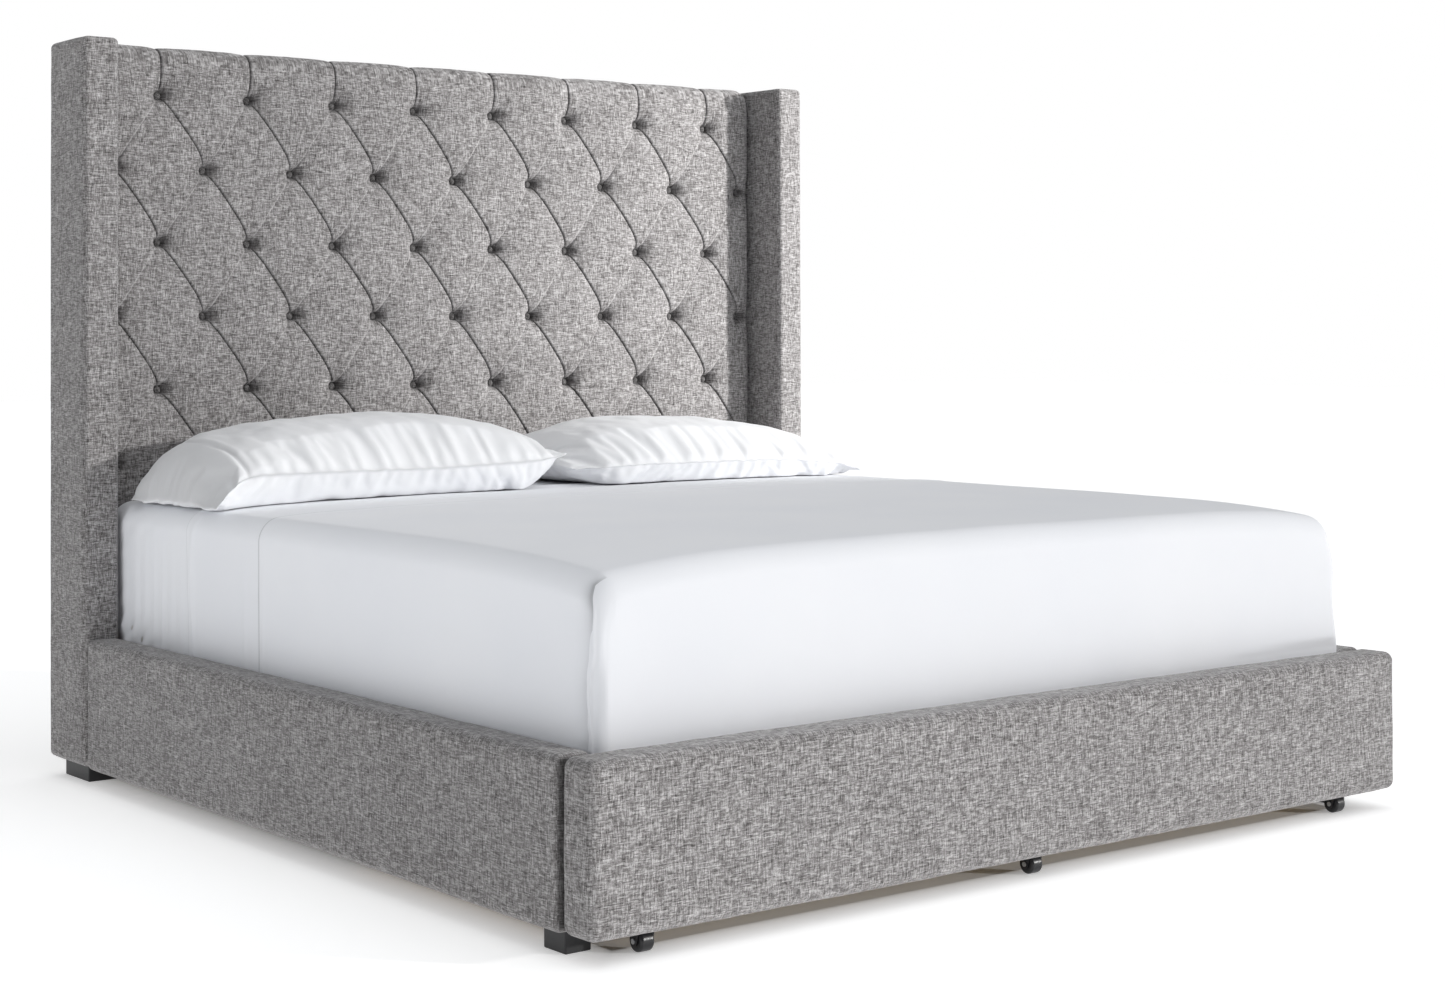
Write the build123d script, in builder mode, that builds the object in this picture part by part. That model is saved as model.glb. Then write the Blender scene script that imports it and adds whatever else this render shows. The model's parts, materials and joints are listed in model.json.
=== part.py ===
"""King-size upholstered storage bed: tufted wing headboard, padded side rails,
a footboard that is the front of a large drawer on fixed casters, a slatted
base, and a made-up mattress with two pillows.

Millimetres.  +Z is up, +Y points from the foot to the headboard, +X is to the
right of someone looking from the foot.  The origin is on the floor under the
middle of the bed's outline.
"""

import os

from build123d import *

os.makedirs("parts", exist_ok=True)

# ------------------------------------------------------------------ overall
HALF_DEPTH = 1110.0          # outline runs from -Y to +Y by this much
WING_X = 1050.0              # outer face of a wing
WING_T = 82.0                # wing thickness across the bed
WING_Y = 904.0               # front face of the wings
WING_BOTTOM = 46.0
WING_TOP = 1703.0
WING_R = 13.0                # rounding of the padded wing edges
WING_PAD = 8.0               # foam and fabric over the wing frame

RAIL_OUT = 1047.0            # outer face of a side rail
RAIL_IN = 973.0              # inner face of a side rail
RAIL_Z0 = 41.0
RAIL_Z1 = 334.0
RAIL_Y0 = -1015.0            # foot end of a side rail
RAIL_R = 14.0

FRONT_X = 1043.0             # half width of the drawer front
FRONT_Y0 = -HALF_DEPTH
FRONT_Y1 = -1020.0
FRONT_R = 14.0

# --------------------------------------------------------------- headboard
PAD_Y0 = 1010.0              # crown of the tufted pad
PAD_Y1 = 1062.0
BOARD_T = 12.0               # plywood the tufting is pulled against
FRAME_T = 30.0               # battens behind the plywood
PANEL_X = 966.0              # half width of panel between the wings
PAD_Z0 = 470.0
PAD_Z1 = 1699.0
BOARD_Z0 = 352.0
BUTTON_PITCH = 231.4
BUTTON_ROW_1 = 1590.0
BUTTON_ROW_STEP = 174.4
BUTTON_ROWS = 6
BUTTON_R = 12.0

# ------------------------------------------------------------------- base
SLAT_T = 22.0
SLAT_W = 70.0
SLAT_COUNT = 14
SLAT_TOP = 293.0
LEDGER_H = 30.0
LEDGER_W = 30.0
BEAM_H = 40.0
BEAM_W = 50.0
STRAP_T = 1.5

# ----------------------------------------------------------------- drawer
BOX_X = 925.0                # outer face of a drawer side
BOX_Y1 = -240.0              # back of the drawer box
BOX_T = 14.0
BOX_Z0 = 50.0                # underside of the drawer bottom
BOX_BOTTOM_T = 9.0
BOX_Z1 = 214.0
TRAVEL = 700.0
WHEEL_R = 19.0
WHEEL_W = 28.0
AXLE_R = 3.0
WHEEL_BORE_R = 3.06
PLATE_T = 2.0
CASTER_X = 904.0
CASTER_FRONT_Y = -1054.0
CASTER_REAR_Y = -305.0
CASTER_REAR_X = 860.0

# ---------------------------------------------------------------- bedding
MATT_X = 957.0
MATT_Y0 = -1008.0
MATT_Y1 = 1006.0
MATT_Z0 = 295.0
MATT_Z1 = 650.0
MATT_R = 42.0
SHEET_T = 2.0
COVER_T = 6.0
COVER_EDGE_Y = 215.0         # head edge of the coverlet
FOLD_EDGE_Y = 560.0          # crease of the turned-down top sheet

SIDES = (("left", -1), ("right", 1))


def save(part, name):
    part.label = name
    export_step(part, f"parts/{name}.step")


def block(x0, x1, y0, y1, z0, z1, mode=Mode.ADD):
    """A plain rectangular block between two corners."""
    with Locations(((x0 + x1) / 2, (y0 + y1) / 2, (z0 + z1) / 2)):
        return Box(abs(x1 - x0), abs(y1 - y0), abs(z1 - z0), mode=mode)


# =================================================================== wings
POST_Y = (1040.0, 1102.0)            # rear post inside a wing
STILE_Y = (912.0, 940.0)             # front stile inside a wing
WING_BOLT_Z = (420.0, 860.0, 1480.0)  # bolts from the headboard frame
WING_BOLT_Y = 1089.0
HOOK_Z = (120.0, 250.0)              # rail hook plate, bottom and top
HOOK_X = 1010.0                      # middle of the hook plate
SLOT_Z = (150.0, 220.0)

X_IN, X_OUT = WING_X - WING_T, WING_X
C_IN, C_OUT = X_IN + WING_PAD, X_OUT - WING_PAD

for side, s in SIDES:
    # padded cover: closed all round, hollow for the frame
    with BuildPart() as wing_cover:
        with BuildSketch(Plane.XY.offset(WING_BOTTOM)):
            with Locations((s * (X_IN + X_OUT) / 2, (WING_Y + HALF_DEPTH) / 2)):
                Rectangle(WING_T, HALF_DEPTH - WING_Y)
        extrude(amount=WING_TOP - WING_BOTTOM)
        fillet(wing_cover.edges().filter_by(Axis.Z), WING_R)
        fillet(wing_cover.faces().sort_by(Axis.Z)[-1].edges(), WING_R - 1)
        block(s * C_IN, s * C_OUT, WING_Y + WING_PAD, HALF_DEPTH - WING_PAD,
              WING_BOTTOM + 8, WING_TOP - WING_PAD, mode=Mode.SUBTRACT)
        # recess and pocket for the slotted plate the rail hooks into
        block(s * (HOOK_X - 20), s * (HOOK_X + 20), WING_Y, WING_Y + 3,
              HOOK_Z[0], HOOK_Z[1], mode=Mode.SUBTRACT)
        block(s * (HOOK_X - 8), s * (HOOK_X + 8), WING_Y, WING_Y + 9,
              HOOK_Z[0] + 10, HOOK_Z[1] - 10, mode=Mode.SUBTRACT)
        # bolt clearance through the inner face
        for z in WING_BOLT_Z:
            with Locations(Location((s * (X_IN + 4), WING_BOLT_Y, z), (0, 90, 0))):
                Cylinder(4.3, 12, mode=Mode.SUBTRACT)
    save(wing_cover.part, f"wing_cover_{side}")

    # timber frame inside the cover: rear post, front stile, five blocks
    with BuildPart() as wing_frame:
        z0, z1 = WING_BOTTOM + 8, WING_TOP - WING_PAD
        block(s * C_IN, s * C_OUT, POST_Y[0], POST_Y[1], z0, z1)
        for z in WING_BOLT_Z:
            with Locations(Location((s * (C_IN + 20), WING_BOLT_Y, z), (0, 90, 0))):
                Cylinder(4.3, 42, mode=Mode.SUBTRACT)
        block(s * C_IN, s * C_OUT, STILE_Y[0], STILE_Y[1], z0, z1)
        block(s * (HOOK_X - 9), s * (HOOK_X + 9), STILE_Y[0], STILE_Y[1] - 10,
              HOOK_Z[0] + 10, HOOK_Z[1] - 10, mode=Mode.SUBTRACT)
        for zc in (z0 + 25, z0 + 300, z0 + 740, z0 + 1180, z1 - 25):
            block(s * C_IN, s * C_OUT, STILE_Y[1], POST_Y[0], zc - 25, zc + 25)
    save(wing_frame.part, f"wing_frame_{side}")

# slotted steel plates let into the wings' front faces
with BuildPart() as slot_plates:
    for s in (-1, 1):
        block(s * (HOOK_X - 20), s * (HOOK_X + 20), WING_Y, WING_Y + 3,
              HOOK_Z[0], HOOK_Z[1])
        for zc in SLOT_Z:
            block(s * (HOOK_X - 3), s * (HOOK_X + 3), WING_Y, WING_Y + 3,
                  zc - 15, zc + 15, mode=Mode.SUBTRACT)
save(slot_plates.part, "slotted_plates")

# block feet under the wings
with BuildPart() as rear_feet:
    with BuildSketch(Plane.XY):
        with Locations((-979, 1032.5), (979, 1032.5)):
            Rectangle(70, 135)
    extrude(amount=WING_BOTTOM)
    fillet(rear_feet.edges().filter_by(Axis.Z), 3)
    chamfer(rear_feet.faces().group_by(Axis.Z)[0].edges(), 1.5)
save(rear_feet.part, "headboard_feet")

# ======================================================= headboard panel
FRAME_Y0 = PAD_Y1 + BOARD_T
FRAME_Y1 = FRAME_Y0 + FRAME_T
STILE_X = (908.0, PANEL_X)

with BuildPart() as stiles:
    for s in (-1, 1):
        block(s * STILE_X[0], s * STILE_X[1], FRAME_Y0, FRAME_Y1, WING_BOTTOM, 1690)
        for z in WING_BOLT_Z:
            with Locations(Location((s * 937, WING_BOLT_Y, z), (0, 90, 0))):
                Cylinder(4.3, 70, mode=Mode.SUBTRACT)
save(stiles.part, "headboard_stiles")

with BuildPart() as crossbars:
    for z0, z1 in ((1610, 1690), (1270, 1340), (910, 980), (540, 610), (110, 190)):
        with BuildSketch(Plane.XY.offset(z0)):
            with Locations((0, (FRAME_Y0 + FRAME_Y1) / 2)):
                Rectangle(2 * STILE_X[0], FRAME_T)
        extrude(amount=z1 - z0)
save(crossbars.part, "headboard_crossbars")

with BuildPart() as backing_board:
    with BuildSketch(Plane.XZ.offset(-PAD_Y1)):
        with Locations((0, (BOARD_Z0 + 1690) / 2)):
            Rectangle(2 * PANEL_X, 1690 - BOARD_Z0)
    extrude(amount=-BOARD_T)
save(backing_board.part, "headboard_backing_board")

with BuildPart() as dust_cover:
    with BuildSketch(Plane.XZ.offset(-FRAME_Y1)):
        with Locations((0, (100 + 1695) / 2)):
            Rectangle(2 * PANEL_X, 1595)
    extrude(amount=-3)
save(dust_cover.part, "headboard_dust_cover")

with BuildPart() as lower_panel:
    block(-PANEL_X, PANEL_X, PAD_Y1 - 24, PAD_Y1, BOARD_Z0, PAD_Z0 - 1)
    fillet(lower_panel.faces().sort_by(Axis.Y)[0].edges(), 8)
save(lower_panel.part, "headboard_lower_panel")

# button positions: rows of eight and nine in turn, a diamond pattern
BUTTONS = []
for row in range(BUTTON_ROWS):
    n = 8 if row % 2 == 0 else 9
    for i in range(n):
        BUTTONS.append(((i - (n - 1) / 2) * BUTTON_PITCH,
                        BUTTON_ROW_1 - row * BUTTON_ROW_STEP))

DIMPLE_BACK = PAD_Y1 - 8
with BuildPart() as tufted_pad:
    block(-PANEL_X, PANEL_X, PAD_Y0, PAD_Y1, PAD_Z0, PAD_Z1)
    fillet(tufted_pad.faces().sort_by(Axis.Y)[0].edges(), 14)
    # a tapered well and a twine hole at each button
    with Locations(*[Location((x, (PAD_Y0 + DIMPLE_BACK) / 2, z), (90, 0, 0))
                     for x, z in BUTTONS]):
        Cone(BUTTON_R + 1.5, 33, DIMPLE_BACK - PAD_Y0, mode=Mode.SUBTRACT)
    with Locations(*[Location((x, PAD_Y1 - 5, z), (90, 0, 0)) for x, z in BUTTONS]):
        Cylinder(2.5, 14, mode=Mode.SUBTRACT)
save(tufted_pad.part, "headboard_tufted_pad")

# covered button: spherical dome and a stem to the plywood
DOME_R = (BUTTON_R ** 2 + 4.5 ** 2) / 9.0
DOME_MID = (DOME_R ** 2 - 36) ** 0.5 - DOME_R
with BuildPart() as one_button:
    with BuildSketch(Plane.XZ):
        with BuildLine():
            Line((0, 0), (0, -13.5))
            Line((0, -13.5), (2.1, -13.5))
            Line((2.1, -13.5), (2.1, -6))
            Line((2.1, -6), (BUTTON_R - 1, -6))
            Line((BUTTON_R - 1, -6), (BUTTON_R, -4.5))
            ThreePointArc((BUTTON_R, -4.5), (6, DOME_MID), (0, 0))
        make_face()
    revolve(axis=Axis.Z)
with BuildPart() as buttons:
    for x, z in BUTTONS:
        add(one_button.part.moved(Location((x, DIMPLE_BACK - 6.2, z), (90, 0, 0))))
save(buttons.part, "headboard_buttons")

# bolts that hold the wings on: hexagon head inside the frame
with BuildPart() as wing_bolts:
    for side, s in SIDES:
        for z in WING_BOLT_Z:
            with Locations(Location((s * 956, WING_BOLT_Y, z), (0, 90, 0))):
                Cylinder(4, 96)
            with BuildSketch(Plane.YZ.offset(s * 904.5)):
                with Locations((WING_BOLT_Y, z)):
                    RegularPolygon(7.5, 6)
            extrude(amount=3.5, both=True)
save(wing_bolts.part, "wing_bolts")

# ============================================================= side rails
CORE_IN, CORE_OUT = RAIL_IN + 6, RAIL_OUT - 10
CORE_Y = (RAIL_Y0 + 6, WING_Y - 6)
CORE_Z = (RAIL_Z0 + 10, RAIL_Z1 - 10)

for side, s in SIDES:
    with BuildPart() as rail_cover:
        with BuildSketch(Plane.XY.offset(RAIL_Z0)):
            with Locations((s * (RAIL_IN + RAIL_OUT) / 2, (RAIL_Y0 + WING_Y) / 2)):
                Rectangle(RAIL_OUT - RAIL_IN, WING_Y - RAIL_Y0)
        extrude(amount=RAIL_Z1 - RAIL_Z0)
        fillet(rail_cover.edges().filter_by(Axis.Y), RAIL_R)
        block(s * CORE_IN, s * CORE_OUT, CORE_Y[0], CORE_Y[1], CORE_Z[0], CORE_Z[1],
              mode=Mode.SUBTRACT)
        block(s * (HOOK_X - 20), s * (HOOK_X + 20), CORE_Y[1], WING_Y,
              HOOK_Z[0], HOOK_Z[1], mode=Mode.SUBTRACT)
    save(rail_cover.part, f"side_rail_cover_{side}")

    # box beam: inner and outer boards
    with BuildPart() as rail_boards:
        block(s * CORE_IN, s * (CORE_IN + 18), *CORE_Y, *CORE_Z)
        block(s * (CORE_OUT - 12), s * CORE_OUT, *CORE_Y, *CORE_Z)
    save(rail_boards.part, f"side_rail_boards_{side}")

# battens between the boards: top, bottom, both ends and the middle
with BuildPart() as rail_battens:
    b0, b1 = CORE_IN + 18, CORE_OUT - 12
    (y0, y1), (z0, z1) = CORE_Y, CORE_Z
    for s in (-1, 1):
        block(s * b0, s * b1, y0, y1, z0, z0 + 30)
        block(s * b0, s * b1, y0, y1, z1 - 30, z1)
        block(s * b0, s * b1, y0, y0 + 40, z0 + 30, z1 - 30)
        block(s * b0, s * b1, y1 - 40, y1, z0 + 30, z1 - 30)
        block(s * b0, s * b1, -25, 25, z0 + 30, z1 - 30)
save(rail_battens.part, "side_rail_battens")

# hook plates on the rails' head ends, two hooks each through the slots
with BuildPart() as hook_plates:
    for s in (-1, 1):
        block(s * (HOOK_X - 20), s * (HOOK_X + 20), WING_Y - 5.5, WING_Y - 0.5,
              HOOK_Z[0] + 0.5, HOOK_Z[1] - 0.5)
        for zc in SLOT_Z:
            block(s * (HOOK_X - 2.5), s * (HOOK_X + 2.5), WING_Y - 0.5, WING_Y + 7,
                  zc - 10, zc + 12)
            block(s * (HOOK_X - 2.5), s * (HOOK_X + 2.5), WING_Y + 3.3, WING_Y + 7,
                  zc - 17, zc - 10)
save(hook_plates.part, "rail_hook_plates")

with BuildPart() as ledgers:
    with BuildSketch(Plane.XZ.offset(955)):
        with Locations(*[(s * (RAIL_IN - LEDGER_W / 2),
                          SLAT_TOP - SLAT_T - LEDGER_H / 2) for s in (-1, 1)]):
            Rectangle(LEDGER_W, LEDGER_H)
    extrude(amount=-(955 + 895))
    chamfer(ledgers.edges().filter_by(Axis.Y).group_by(Axis.Z)[0], 2)
save(ledgers.part, "slat_ledgers")

with BuildPart() as front_feet:
    with BuildSketch(Plane.XY):
        with Locations((-990, -961), (990, -961)):
            Rectangle(52, 66)
    extrude(amount=RAIL_Z0)
    fillet(front_feet.edges().filter_by(Axis.Z), 3)
    chamfer(front_feet.faces().group_by(Axis.Z)[0].edges(), 1.5)
save(front_feet.part, "side_rail_feet")

# timber strips that keep the drawer running straight
with BuildPart() as guides:
    for s in (-1, 1):
        block(s * 930, s * RAIL_IN, -900, -210, 60, 92)
    chamfer(guides.edges().filter_by(Axis.Z).sort_by(lambda e: abs(e.center().X))[:4],
            8)
save(guides.part, "drawer_guides")

# soft bumpers on the rails' foot ends
with BuildPart() as bumpers:
    for side, s in SIDES:
        for z in (100, 275):
            with Locations(Location((s * 1010, RAIL_Y0 - 2, z), (90, 0, 0))):
                Cylinder(9, 4)
    fillet(bumpers.faces().group_by(Axis.Y)[0].edges(), 1.5)
save(bumpers.part, "drawer_bumpers")

# ============================================================ slatted base
BEAM_Z1 = SLAT_TOP - SLAT_T
BEAM_Z0 = BEAM_Z1 - BEAM_H
BRACKET_T = 3.0
LOW_BEAM_Z0 = BEAM_Z0 - BEAM_H
FOOT_BEAM_Y = (-1012.0, -962.0)
MID_BEAM_Y = (-180.0, -130.0)
HEAD_BEAM_Y = (830.0, 880.0)

with BuildPart() as foot_beam:
    block(-970, 970, *FOOT_BEAM_Y, BEAM_Z0, BEAM_Z1)
    chamfer(foot_beam.edges().filter_by(Axis.X), 2)
save(foot_beam.part, "foot_crossbeam")

with BuildPart() as bearers:
    for y0, y1 in (MID_BEAM_Y, HEAD_BEAM_Y):
        block(-970, 970, y0, y1, LOW_BEAM_Z0, BEAM_Z0)
    chamfer(bearers.edges().filter_by(Axis.X), 2)
save(bearers.part, "cross_bearers")

with BuildPart() as center_beam:
    block(-BEAM_W / 2, BEAM_W / 2, FOOT_BEAM_Y[1], 895, BEAM_Z0, BEAM_Z1)
    chamfer(center_beam.edges().filter_by(Axis.Y), 2)
save(center_beam.part, "center_beam")

# angle brackets: one leg on the rail, one under the beam
with BuildPart() as brackets:
    for s in (-1, 1):
        for (y0, y1), zb in ((FOOT_BEAM_Y, BEAM_Z0), (MID_BEAM_Y, LOW_BEAM_Z0),
                             (HEAD_BEAM_Y, LOW_BEAM_Z0)):
            block(s * 970, s * RAIL_IN, y0 + 2, y1 - 2, zb - BRACKET_T,
                  zb + 38)
            block(s * 905, s * 970, y0 + 2, y1 - 2, zb - BRACKET_T, zb)
save(brackets.part, "beam_brackets")

# bracket screws: pan heads against the bracket legs
with BuildPart() as bracket_screws:
    for s in (-1, 1):
        for (y0, y1), zb in ((FOOT_BEAM_Y, BEAM_Z0), (MID_BEAM_Y, LOW_BEAM_Z0),
                             (HEAD_BEAM_Y, LOW_BEAM_Z0)):
            for x in (918, 948):
                with Locations((s * x, (y0 + y1) / 2, zb - BRACKET_T - 1.25)):
                    Cylinder(4.5, 2.5)
                with Locations((s * x, (y0 + y1) / 2, zb - BRACKET_T + 11)):
                    Cylinder(2, 22)
save(bracket_screws.part, "bracket_screws")

with BuildPart() as slats:
    step = (935.0 + 950.0) / (SLAT_COUNT - 1)
    for i in range(SLAT_COUNT):
        y = -950.0 + i * step
        block(-968, 968, y - SLAT_W / 2, y + SLAT_W / 2, SLAT_TOP - SLAT_T, SLAT_TOP)
    fillet(slats.edges().filter_by(Axis.X), 3)
save(slats.part, "bed_slats")

with BuildPart() as straps:
    for x in (-620, 0, 620):
        block(x - 14, x + 14, -985, 970, SLAT_TOP, SLAT_TOP + STRAP_T)
save(straps.part, "slat_straps")

# support legs under the beams, each on a plastic glide
LEGS = [(-480, -155, LOW_BEAM_Z0), (0, -155, LOW_BEAM_Z0), (480, -155, LOW_BEAM_Z0),
        (0, 350, BEAM_Z0), (0, 855, LOW_BEAM_Z0)]
with BuildPart() as legs:
    for x, y, top in LEGS:
        with BuildSketch(Plane.XY.offset(14)):
            with Locations((x, y)):
                Circle(18)
        extrude(amount=top - 14)
save(legs.part, "support_legs")
with BuildPart() as glides:
    for x, y, _ in LEGS:
        with BuildSketch(Plane.XY):
            with Locations((x, y)):
                Circle(22)
        extrude(amount=14, taper=4)
save(glides.part, "leg_glides")

# ================================================================= drawer
with BuildPart() as front_cover:
    with BuildSketch(Plane.XY.offset(RAIL_Z0)):
        with Locations((0, (FRONT_Y0 + FRONT_Y1) / 2)):
            Rectangle(2 * FRONT_X, FRONT_Y1 - FRONT_Y0)
    extrude(amount=RAIL_Z1 - RAIL_Z0)
    fillet(front_cover.edges().filter_by(Axis.Z), 10)
    fillet(front_cover.faces().sort_by(Axis.Z)[-1].edges(), 9)
    block(-FRONT_X + 10, FRONT_X - 10, FRONT_Y0 + 10, FRONT_Y1 - 4,
          RAIL_Z0 + 10, RAIL_Z1 - 10, mode=Mode.SUBTRACT)
save(front_cover.part, "drawer_front_cover")

with BuildPart() as front_boards:
    block(-FRONT_X + 10, FRONT_X - 10, FRONT_Y0 + 10, FRONT_Y0 + 28,
          RAIL_Z0 + 10, RAIL_Z1 - 10)
    block(-FRONT_X + 10, FRONT_X - 10, FRONT_Y1 - 16, FRONT_Y1 - 4,
          RAIL_Z0 + 10, RAIL_Z1 - 10)
save(front_boards.part, "drawer_front_boards")

with BuildPart() as front_battens:
    y0, y1 = FRONT_Y0 + 28, FRONT_Y1 - 16
    z0, z1 = RAIL_Z0 + 10, RAIL_Z1 - 10
    block(-FRONT_X + 10, FRONT_X - 10, y0, y1, z0, z0 + 28)
    block(-FRONT_X + 10, FRONT_X - 10, y0, y1, z1 - 28, z1)
    for x in (-FRONT_X + 10, -362, 338, FRONT_X - 34):
        block(x, x + 24, y0, y1, z0 + 28, z1 - 28)
save(front_battens.part, "drawer_front_battens")

with BuildPart() as drawer_bottom:
    with BuildSketch(Plane.XY.offset(BOX_Z0)):
        with Locations((0, (FRONT_Y1 + BOX_Y1) / 2)):
            Rectangle(2 * BOX_X, BOX_Y1 - FRONT_Y1)
    extrude(amount=BOX_BOTTOM_T)
save(drawer_bottom.part, "drawer_bottom")

BZ = BOX_Z0 + BOX_BOTTOM_T
for side, s in SIDES:
    with BuildPart() as drawer_side:
        block(s * (BOX_X - BOX_T), s * BOX_X, FRONT_Y1, BOX_Y1, BZ, BOX_Z1)
        fillet(drawer_side.faces().sort_by(Axis.Z)[-1].edges().filter_by(Axis.Y), 3)
    save(drawer_side.part, f"drawer_side_{side}")

with BuildPart() as box_front:
    block(-BOX_X + BOX_T, BOX_X - BOX_T, FRONT_Y1, FRONT_Y1 + BOX_T, BZ, BOX_Z1)
save(box_front.part, "drawer_box_front")

with BuildPart() as box_back:
    block(-BOX_X + BOX_T, BOX_X - BOX_T, BOX_Y1 - BOX_T, BOX_Y1, BZ, BOX_Z1)
save(box_back.part, "drawer_box_back")

with BuildPart() as divider:
    block(-6, 6, FRONT_Y1 + BOX_T, BOX_Y1 - BOX_T, BZ, BOX_Z1 - 30)
    fillet(divider.faces().sort_by(Axis.Z)[-1].edges().filter_by(Axis.Y), 3)
save(divider.part, "drawer_divider")

# stop tabs: raised on the drawer back, hanging blocks on the foot crossbeam
with BuildPart() as stop_tabs:
    for x in (-620, 620):
        block(x - 30, x + 30, BOX_Y1 - BOX_T, BOX_Y1, BOX_Z1, BEAM_Z0 - 3)
save(stop_tabs.part, "drawer_stop_tabs")
with BuildPart() as stop_blocks:
    y_stop = BOX_Y1 - BOX_T - TRAVEL - 2
    for x in (-620, 620):
        block(x - 30, x + 30, y_stop - 30, y_stop, BOX_Z1 + 4, BEAM_Z0)
save(stop_blocks.part, "drawer_stop_blocks")

# spacer blocks bring the rear casters to the height of the front ones
with BuildPart() as spacers:
    for x in (-CASTER_REAR_X, 0, CASTER_REAR_X):
        block(x - 55, x + 55, CASTER_REAR_Y - 30, CASTER_REAR_Y + 30, RAIL_Z0, BOX_Z0)
save(spacers.part, "caster_spacers")

CASTERS = (("front_left", -CASTER_X, CASTER_FRONT_Y),
           ("front_center", 0, CASTER_FRONT_Y),
           ("front_right", CASTER_X, CASTER_FRONT_Y),
           ("rear_left", -CASTER_REAR_X, CASTER_REAR_Y),
           ("rear_center", 0, CASTER_REAR_Y),
           ("rear_right", CASTER_REAR_X, CASTER_REAR_Y))
CHEEK = WHEEL_W / 2 + 1.2
with BuildPart() as forks:
    for _, x, y in CASTERS:
        # top plate and two cheeks with rounded lower ends
        block(x - 48, x + 48, y - 22, y + 22, RAIL_Z0 - PLATE_T, RAIL_Z0)
        for s in (-1, 1):
            with BuildSketch(Plane.YZ.offset(x + s * (CHEEK + 1) - 1)):
                with Locations((y, WHEEL_R)):
                    Circle(8)
                with BuildLine():
                    Polyline((y - 8, WHEEL_R), (y - 14, RAIL_Z0 - PLATE_T),
                             (y + 14, RAIL_Z0 - PLATE_T), (y + 8, WHEEL_R),
                             close=True)
                make_face()
            extrude(amount=2)
        with Locations(Location((x, y, WHEEL_R), (0, 90, 0))):
            Cylinder(AXLE_R, 2 * CHEEK + 8, mode=Mode.SUBTRACT)
save(forks.part, "caster_forks")

with BuildPart() as axles:
    for _, x, y in CASTERS:
        with Locations(Location((x, y, WHEEL_R), (0, 90, 0))):
            Cylinder(AXLE_R, 2 * CHEEK + 4)
        for s in (-1, 1):
            with Locations(Location((x + s * (CHEEK + 3), y, WHEEL_R), (0, 90, 0))):
                Cylinder(4.6, 2)
save(axles.part, "caster_axles")

with BuildPart() as drawer_screws:
    # through the box front into the padded front
    for x in (-780, -400, -130, 130, 400, 780):
        for z in (95, 180):
            with Locations(Location((x, FRONT_Y1 + BOX_T - 6, z), (90, 0, 0))):
                Cylinder(2.2, 32)
            with Locations(Location((x, FRONT_Y1 + BOX_T + 1.25, z), (90, 0, 0))):
                Cylinder(5, 2.5)
    # through the caster plates
    for _, x, y in CASTERS:
        for dx in (-38, 38):
            for dy in (-13, 13):
                with Locations((x + dx, y + dy, RAIL_Z0 - PLATE_T - 1)):
                    Cylinder(4, 2)
                with Locations((x + dx, y + dy, RAIL_Z0 + 7)):
                    Cylinder(1.9, 18)
save(drawer_screws.part, "drawer_screws")

for name, x, y in CASTERS:
    with BuildPart() as wheel:
        with Locations(Location((x, y, WHEEL_R), (0, 90, 0))):
            Cylinder(WHEEL_R, WHEEL_W)
        fillet(wheel.edges().filter_by(GeomType.CIRCLE), 5)
        with Locations(Location((x, y, WHEEL_R), (0, 90, 0))):
            Cylinder(WHEEL_BORE_R, WHEEL_W + 2, mode=Mode.SUBTRACT)
    save(wheel.part, f"caster_wheel_{name}")

# ================================================================ bedding
def shell_box(g):
    """Half-sizes of the made-up mattress, grown by g on every side."""
    return MATT_X + g, MATT_Y0 - g, MATT_Y1 + g, MATT_Z1 + g


with BuildPart() as mattress:
    with BuildSketch(Plane.XY.offset(MATT_Z0)):
        with Locations((0, (MATT_Y0 + MATT_Y1) / 2)):
            RectangleRounded(2 * MATT_X, MATT_Y1 - MATT_Y0, 70)
    extrude(amount=MATT_Z1 - MATT_Z0)
    fillet(mattress.faces().sort_by(Axis.Z)[-1].edges(), MATT_R)
    fillet(mattress.faces().sort_by(Axis.Z)[0].edges(), 20)
    # quilted border and panels round a light sprung core
    block(-MATT_X + 22, MATT_X - 22, MATT_Y0 + 22, MATT_Y1 - 22,
          MATT_Z0 + 22, MATT_Z1 - 30, mode=Mode.SUBTRACT)
save(mattress.part, "mattress")


def layer(y0, y1, z0, inner, thick, name):
    """A cloth layer over the mattress between two cross sections."""
    with BuildPart() as cloth:
        with BuildSketch(Plane.XY.offset(z0)):
            with Locations((0, (MATT_Y0 + MATT_Y1) / 2)):
                RectangleRounded(2 * (MATT_X + inner + thick),
                                 MATT_Y1 - MATT_Y0 + 2 * (inner + thick),
                                 70 + inner + thick)
        extrude(amount=MATT_Z1 + inner + thick - z0)
        fillet(cloth.faces().sort_by(Axis.Z)[-1].edges(), MATT_R + inner + thick)
        with BuildPart(mode=Mode.PRIVATE) as core:
            with BuildSketch(Plane.XY.offset(z0 - 5)):
                with Locations((0, (MATT_Y0 + MATT_Y1) / 2)):
                    RectangleRounded(2 * (MATT_X + inner),
                                     MATT_Y1 - MATT_Y0 + 2 * inner, 70 + inner)
            extrude(amount=MATT_Z1 + inner - z0 + 5)
            fillet(core.faces().sort_by(Axis.Z)[-1].edges(), MATT_R + inner)
        add(core.part, mode=Mode.SUBTRACT)
        if y0 is not None:
            block(-1200, 1200, -1400, y0, 200, 800, mode=Mode.SUBTRACT)
        if y1 is not None:
            block(-1200, 1200, y1, 1400, 200, 800, mode=Mode.SUBTRACT)
    save(cloth.part, name)


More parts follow.
